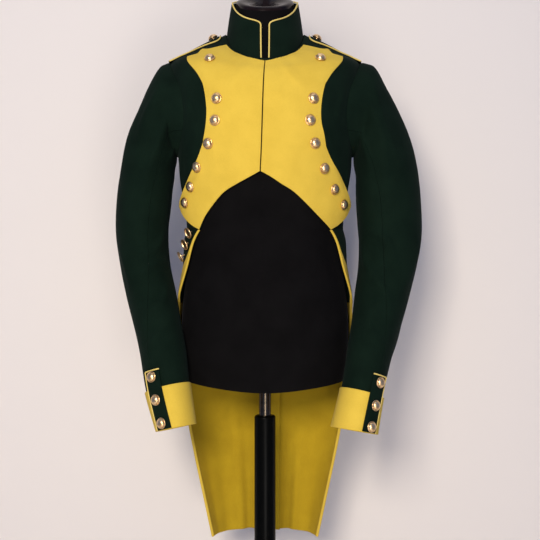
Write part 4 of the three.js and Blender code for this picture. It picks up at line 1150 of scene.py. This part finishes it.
# Across the strip: the inside part, a half circle round the edge, and the outside part. Distances
# are from the middle of the tail's own thickness.
def facingGrid(side):
    place = placeOfHeight(np.linspace(facing["top"], skirt["hem"], 190))[:, None]
    height = readRows(skirtRows, place[:, 0])[:, 0]
    rows = np.array(facing["rows"], float)
    width = np.interp(-height, -rows[:, 0], rows[:, 1])
    edgePoint, edgeNormal = tailCloth(side, np.zeros_like(place), place)
    near = tailCloth(side, np.full_like(place, 0.02), place)[0]
    ahead = unit(edgePoint - near)
    perAcross = np.linalg.norm(edgePoint - near, axis=-1) / 0.02
    turnedIn = facing["turnedIn"] * smoothStep(facing["top"] - height, 0, 20) + 0.5
    inward = np.linspace(1, 0, 5)[None, :-1] * (turnedIn[:, None] / perAcross)
    outward = np.linspace(0, 1, 12)[None, 1:] * (width[:, None] / perAcross)
    lined = smoothStep(skirt["liningTop"] + 18 - height, 0, 16)
    inside = facing["inside"] + (facing["overLining"] - facing["inside"]) * lined[:, None, None]
    bend = np.linspace(np.pi, 0, 9)[None, :, None]
    reach = inside + (facing["outside"] - inside) * (1 + np.cos(bend)) / 2
    across = [tailCloth(side, part, np.broadcast_to(place, part.shape)) for part in (inward, outward)]
    half = coat["cloth"] / 2
    away = edgeNormal * np.cos(bend) + ahead * np.sin(bend)
    point = np.concatenate([
        across[0][0] + across[0][1] * (half - inside),
        edgePoint + edgeNormal * half + away * reach,
        across[1][0] + across[1][1] * (half + facing["outside"]),
    ], axis=1)
    normal = np.concatenate([-across[0][1], away, across[1][1]], axis=1)
    return point, normal


# A grid of a tail from a height down to the hem.
def tailGrid(side, top, count):
    place = placeOfHeight(np.linspace(top, skirt["hem"], count))[:, None]
    return tailCloth(side, np.linspace(0, 1, 80)[None], place)


for name, side in sides.items():
    grid = tailGrid(side, coat["waist"] - skirt["waistGap"], 200)
    makeSheet(f"tail_{name}", [grid], side, "greenWool")
    grid = tailGrid(side, skirt["liningTop"], 150)
    wall = (-coat["seamGap"] - skirt["lining"], -coat["seamGap"])
    makeSheet(f"tail_lining_{name}", [grid], side, "yellowLining", 0.3, wall)
    grid = facingGrid(side)
    wall = (0, facing["thick"])
    makeSheet(f"skirt_facing_{name}", [grid], side, "yellowWool", 0.4, wall)
print("tails made")

# Buttons.

domedButton = {
    "radius": 9.3, "height": 7.2, "rim": 1.8, "bead": 0.85, "crown": 0.86, "foot": 2.5, "lift": 1.2,
}
flatButton = {
    "radius": 10, "bead": 1.3, "dish": 7.1, "dishRise": 0.9, "dishDepth": 0.8, "foot": 1.5, "lift": 7,
}
buttonSeats = {
    "left": [[47, 1396], [34.5, 1326], [32.5, 1290], [37, 1253], [46.5, 1213], [58, 1180], [68, 1155]],
    "right": [[46.5, 1395], [34.5, 1326], [36, 1290], [42, 1253], [53.5, 1216], [62, 1185], [69, 1159]],
    "waist": [[69.5, 1104, 38], [71.5, 1086.5, 26], [77.5, 1065.5, 28]],  # the last is the droop
    "gap": 0.4,
}


# A domed button: shank, back plate, rolled rim and a crown that rises as a half ellipse.
def domedProfile():
    size = domedButton
    rise = np.linspace(0, np.pi / 2, 12)
    crownRadius = size["radius"] * size["crown"] * np.cos(rise)
    crown = size["lift"] + size["rim"] * 0.9 + (size["height"] - size["rim"]) * np.sin(rise)
    rim = np.linspace(-np.pi / 2, np.pi * 0.75, 9)
    rimRadius = size["radius"] - size["bead"] + size["bead"] * np.cos(rim)
    rimHeight = size["lift"] + 0.1 + size["bead"] + size["bead"] * np.sin(rim)
    radius = np.concatenate([[0.3, size["foot"], size["foot"]], rimRadius, crownRadius[:-1], [0.15]])
    height = np.concatenate([[0, 0, size["lift"]], rimHeight, crown])
    return np.stack([radius, height], -1)


# A flat button: shank, raised rim and a shallow dish that rises by the square of its radius.
def flatProfile():
    size = flatButton
    rim = np.linspace(-np.pi / 2, np.pi, 12)
    rimRadius = size["radius"] - size["bead"] + size["bead"] * np.cos(rim)
    rimHeight = size["lift"] + size["bead"] + size["bead"] * np.sin(rim)
    dish = np.linspace(1, 0.02, 8)
    dishHeight = size["lift"] + size["dishRise"] + size["dishDepth"] * (1 - dish ** 2)
    radius = np.concatenate([[0.3, size["foot"], size["foot"]], rimRadius, size["dish"] * dish])
    height = np.concatenate([[0, 0, size["lift"]], rimHeight, dishHeight])
    return np.stack([radius, height], -1)


# A gilt button, turned round the axis that stands on its seat.
def addButton(node, seat, axis, side, profile):
    flip = np.array([side, 1, 1])
    rings = turnedRings(profile, 36, seat * flip, axis * flip)
    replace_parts(ringSolid(f"metal_{node}", rings, "gilt", 0.9), node)


for name, side in sides.items():
    for index, (turn, height) in enumerate(buttonSeats[name]):
        line = onBody([turn, height])
        plain, _ = bodyCloth(line, side, folded=False)
        point, normal = bodyCloth(line, side)
        seat = point + normal * (layerOut + coat["cloth"] + buttonSeats["gap"] + cornerLift(plain))
        addButton(f"lapel_button_{name}_{index + 1}", seat, normal, side, domedProfile())
    for index, part in enumerate(flap["buttons"]):
        point, normal = flapPoint(side, part, 0.0)
        seat = point + normal * (flap["out"] + coat["cloth"] + buttonSeats["gap"])
        addButton(f"cuff_button_{name}_{index + 1}", seat, normal, side, domedProfile())
    point, normal = strapCloth(np.array(strap["buttonAt"]), np.array(0.0))
    seat = point + normal * (layerOut + coat["cloth"] + buttonSeats["gap"])
    addButton(f"strap_button_{name}", seat, normal, side, domedProfile())
for index, (turn, height, droop) in enumerate(buttonSeats["waist"]):
    place = placeOfHeight(height)
    edge = readRows(skirtRows, place)[5]
    point, normal = tailCloth(-1, (turn - edge) / (180 - edge), place)
    down = unit(np.array([0, 0, -1]) + normal * normal[2])
    tip = math.radians(droop)
    axis = normal * math.cos(tip) + down * math.sin(tip)
    out = coat["cloth"] + buttonSeats["gap"] / 3 + flatButton["foot"] * math.sin(tip) / 2
    addButton(f"waist_button_{index + 1}", point + normal * out, axis, -1, flatProfile())
print("buttons made")

# Dress form and stand.

form = {
    "easeBelow": 2.0, "easeShoulder": 2.8, "easeFrom": 9, "easeTo": 11.5, "torsoTop": 14.8,
    "neckTop": 2.9, "floor": 836, "floorRadius": 20,
}
neckRows = [
    [1461, 1400.5, 1479, 62, -79.5, -2, 55.5, 2, 1.2], [1486, 1440, 1507, 56, -70, -2, 49, 2, 1.2],
    [1502, 1470, 1526, 53, -63, -1, 47, 2, 1.2], [1517, 1490, 1542, 52, -59, 0, 46, 2, 1.2],
]
formTurns = np.linspace(0, 360, 120, endpoint=False)[None]


# The form: the body drawn in by its ease, the neck above, and a floor that curves up from a
# small circle to the lower edge by the square of the distance.
def makeForm():
    place = np.linspace(0, form["torsoTop"], 150)[:, None]
    point, normal = bodySurface(formTurns, place)
    share = smoothStep(place, form["easeFrom"], form["easeTo"])
    ease = form["easeBelow"] + (form["easeShoulder"] - form["easeBelow"]) * share
    torso = point - normal * ease[..., None]
    neck = ovalPoint(readRows(neckRows, np.linspace(0, form["neckTop"], 24)[:, None]), formTurns)
    angle = np.radians(formTurns[0])
    floor = np.stack([form["floorRadius"] * np.sin(angle), -form["floorRadius"] * np.cos(angle),
                      np.full_like(angle, form["floor"])], -1)
    share = np.linspace(0, 1, 9)[:-1, None, None]
    under = floor[None] * (1 - share) + torso[:1] * share
    under[..., 2] = floor[0, 2] + (torso[0, :, 2] - floor[0, 2])[None] * share[..., 0] ** 2
    piece = ringSolid("form_body", np.concatenate([under, torso, neck]), "blackJersey")
    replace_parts(piece, "form_torso")


# Rings of the cap: place on the neck's rows, scale, and rise in millimetres.
capStages = [
    [2.9, 0.999, 0.3], [2.95, 1, 1.5], [3, 1, 3], [3, 0.99, 4.8], [3, 0.96, 7], [3, 0.9, 8.8],
    [3, 0.8, 10.6], [3, 0.68, 12.4], [3, 0.5, 15], [3, 0.3, 17.8], [3, 0.12, 19.4],
]


# The cap: the neck's oval scaled and raised ring by ring into a low dome.
def makeNeckCap():
    place, scale, rise = np.array(capStages, float).T[..., None]
    rings = ovalPoint(readRows(neckRows, place), formTurns)
    rings = rings * np.stack([scale, scale, np.ones_like(scale)], -1)
    rings[..., 2] += rise
    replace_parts(ringSolid("form_neck_cap", rings, "neckLacquer"), "neck_cap")


stand = {"rod": 11, "pole": 19, "poleTop": 779, "rim": 4, "foot": 190, "footHeight": 14, "footEdge": 4}


# Rod, pole and foot, each turned from its profile, with a quarter circle round the upper edges.
def makeStand():
    gap = coat["seamGap"]
    rod = [[stand["rod"], stand["poleTop"] + gap], [stand["rod"], form["floor"] - gap]]
    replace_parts(ringSolid("stand_chrome_rod", turnedRings(rod, 48), "chrome"), "stand_rod")
    turn = np.linspace(0, np.pi / 2, 7)
    lip = np.stack([stand["pole"] - stand["rim"] * (1 - np.cos(turn)),
                    stand["poleTop"] - stand["rim"] * (1 - np.sin(turn))], -1)
    pole = np.concatenate([[[stand["pole"], stand["footHeight"] + gap]], lip])
    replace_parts(ringSolid("stand_black_pole", turnedRings(pole, 48), "blackPaint"), "stand_pole")
    edge = np.stack([stand["foot"] - stand["footEdge"] * (1 - np.cos(turn)),
                     stand["footHeight"] - stand["footEdge"] * (1 - np.sin(turn))], -1)
    foot = np.concatenate([[[stand["foot"], 0]], edge])
    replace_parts(ringSolid("stand_foot", turnedRings(foot, 96), "blackPaint"), "stand_base")


makeForm()
makeNeckCap()
makeStand()
print("dress form and stand made")

# Floor and light.

studio = {
    "floorSize": 1.7,
    "floorColour": (0.8, 0.76, 0.72),
    "wall": {"colour": (0.79, 0.72, 0.65), "behind": 0.3, "half": 2.4, "height": 3.2},
    "room": (0.135, 0.19, 0.38),
    # name: place, size, power, colour
    "lamps": {
        "key": [(-0.42, -2.3, 1.65), 0.62, 50, (1.0, 0.93, 0.83)],
        "fill": [(0.2, -1.9, 0.4), 0.6, 10, (1.0, 0.95, 0.88)],
        "top": [(0.1, -0.3, 2.9), 1.4, 5, (1.0, 1.0, 1.0)],
    },
    "aim": (0.0, 0.0, 1.12),
}


# A flat piece of the room, seen from its front only, so that it hides nothing from behind.
def stagePiece(name, corners, colour):
    mesh = bpy.data.meshes.new(name)
    mesh.from_pydata(np.asarray(corners, float).tolist(), [], [list(range(len(corners)))])
    material = bpy.data.materials.new(name)
    material.use_nodes = True
    tree = material.node_tree
    shader = tree.nodes["Principled BSDF"]
    shader.inputs["Base Color"].default_value = (*colour, 1)
    shader.inputs["Roughness"].default_value = 0.9
    shader.inputs["Specular IOR Level"].default_value = 0.1
    seen = addNode(tree, "ShaderNodeNewGeometry", (-200, 300))
    clear = addNode(tree, "ShaderNodeBsdfTransparent", (0, -300))
    mix = addNode(tree, "ShaderNodeMixShader", (400, 300))
    tree.links.new(seen.outputs["Backfacing"], mix.inputs[0])
    tree.links.new(shader.outputs[0], mix.inputs[1])
    tree.links.new(clear.outputs[0], mix.inputs[2])
    tree.links.new(mix.outputs[0], tree.nodes["Material Output"].inputs["Surface"])
    mesh.materials.append(material)
    piece = bpy.data.objects.new(name, mesh)
    bpy.context.scene.collection.objects.link(piece)


# A round floor cut off by a plain wall behind the stand.
def makeFloor():
    wall = studio["wall"]
    angle = np.linspace(0, 2 * np.pi, 96, endpoint=False)
    ring = np.stack([np.cos(angle), np.sin(angle), 0 * angle], -1) * studio["floorSize"]
    ring[:, 1] = np.minimum(ring[:, 1], wall["behind"])
    stagePiece("floor", ring, studio["floorColour"])
    x, y, z = wall["half"], wall["behind"], wall["height"]
    stagePiece("wall", [(-x, y, 0), (x, y, 0), (x, y, z), (-x, y, z)], wall["colour"])


# A plain colour of light all round.
def makeRoom():
    world = bpy.data.worlds.new("room")
    bpy.context.scene.world = world
    world.use_nodes = True
    world.node_tree.nodes["Background"].inputs["Color"].default_value = (*studio["room"], 1)


# Square soft lamps, each turned to face the aim.
def makeLamps():
    for name, (place, size, power, colour) in studio["lamps"].items():
        data = bpy.data.lights.new(name, "AREA")
        data.size, data.energy, data.color = size, power, colour
        lamp = bpy.data.objects.new(name, data)
        lamp.location = place
        away = np.array(studio["aim"]) - np.array(place)
        lamp.rotation_euler = (
            math.atan2(math.hypot(away[0], away[1]), -away[2]), 0, math.atan2(-away[0], away[1]))
        bpy.context.scene.collection.objects.link(lamp)


makeFloor()
makeRoom()
makeLamps()
print("room made")
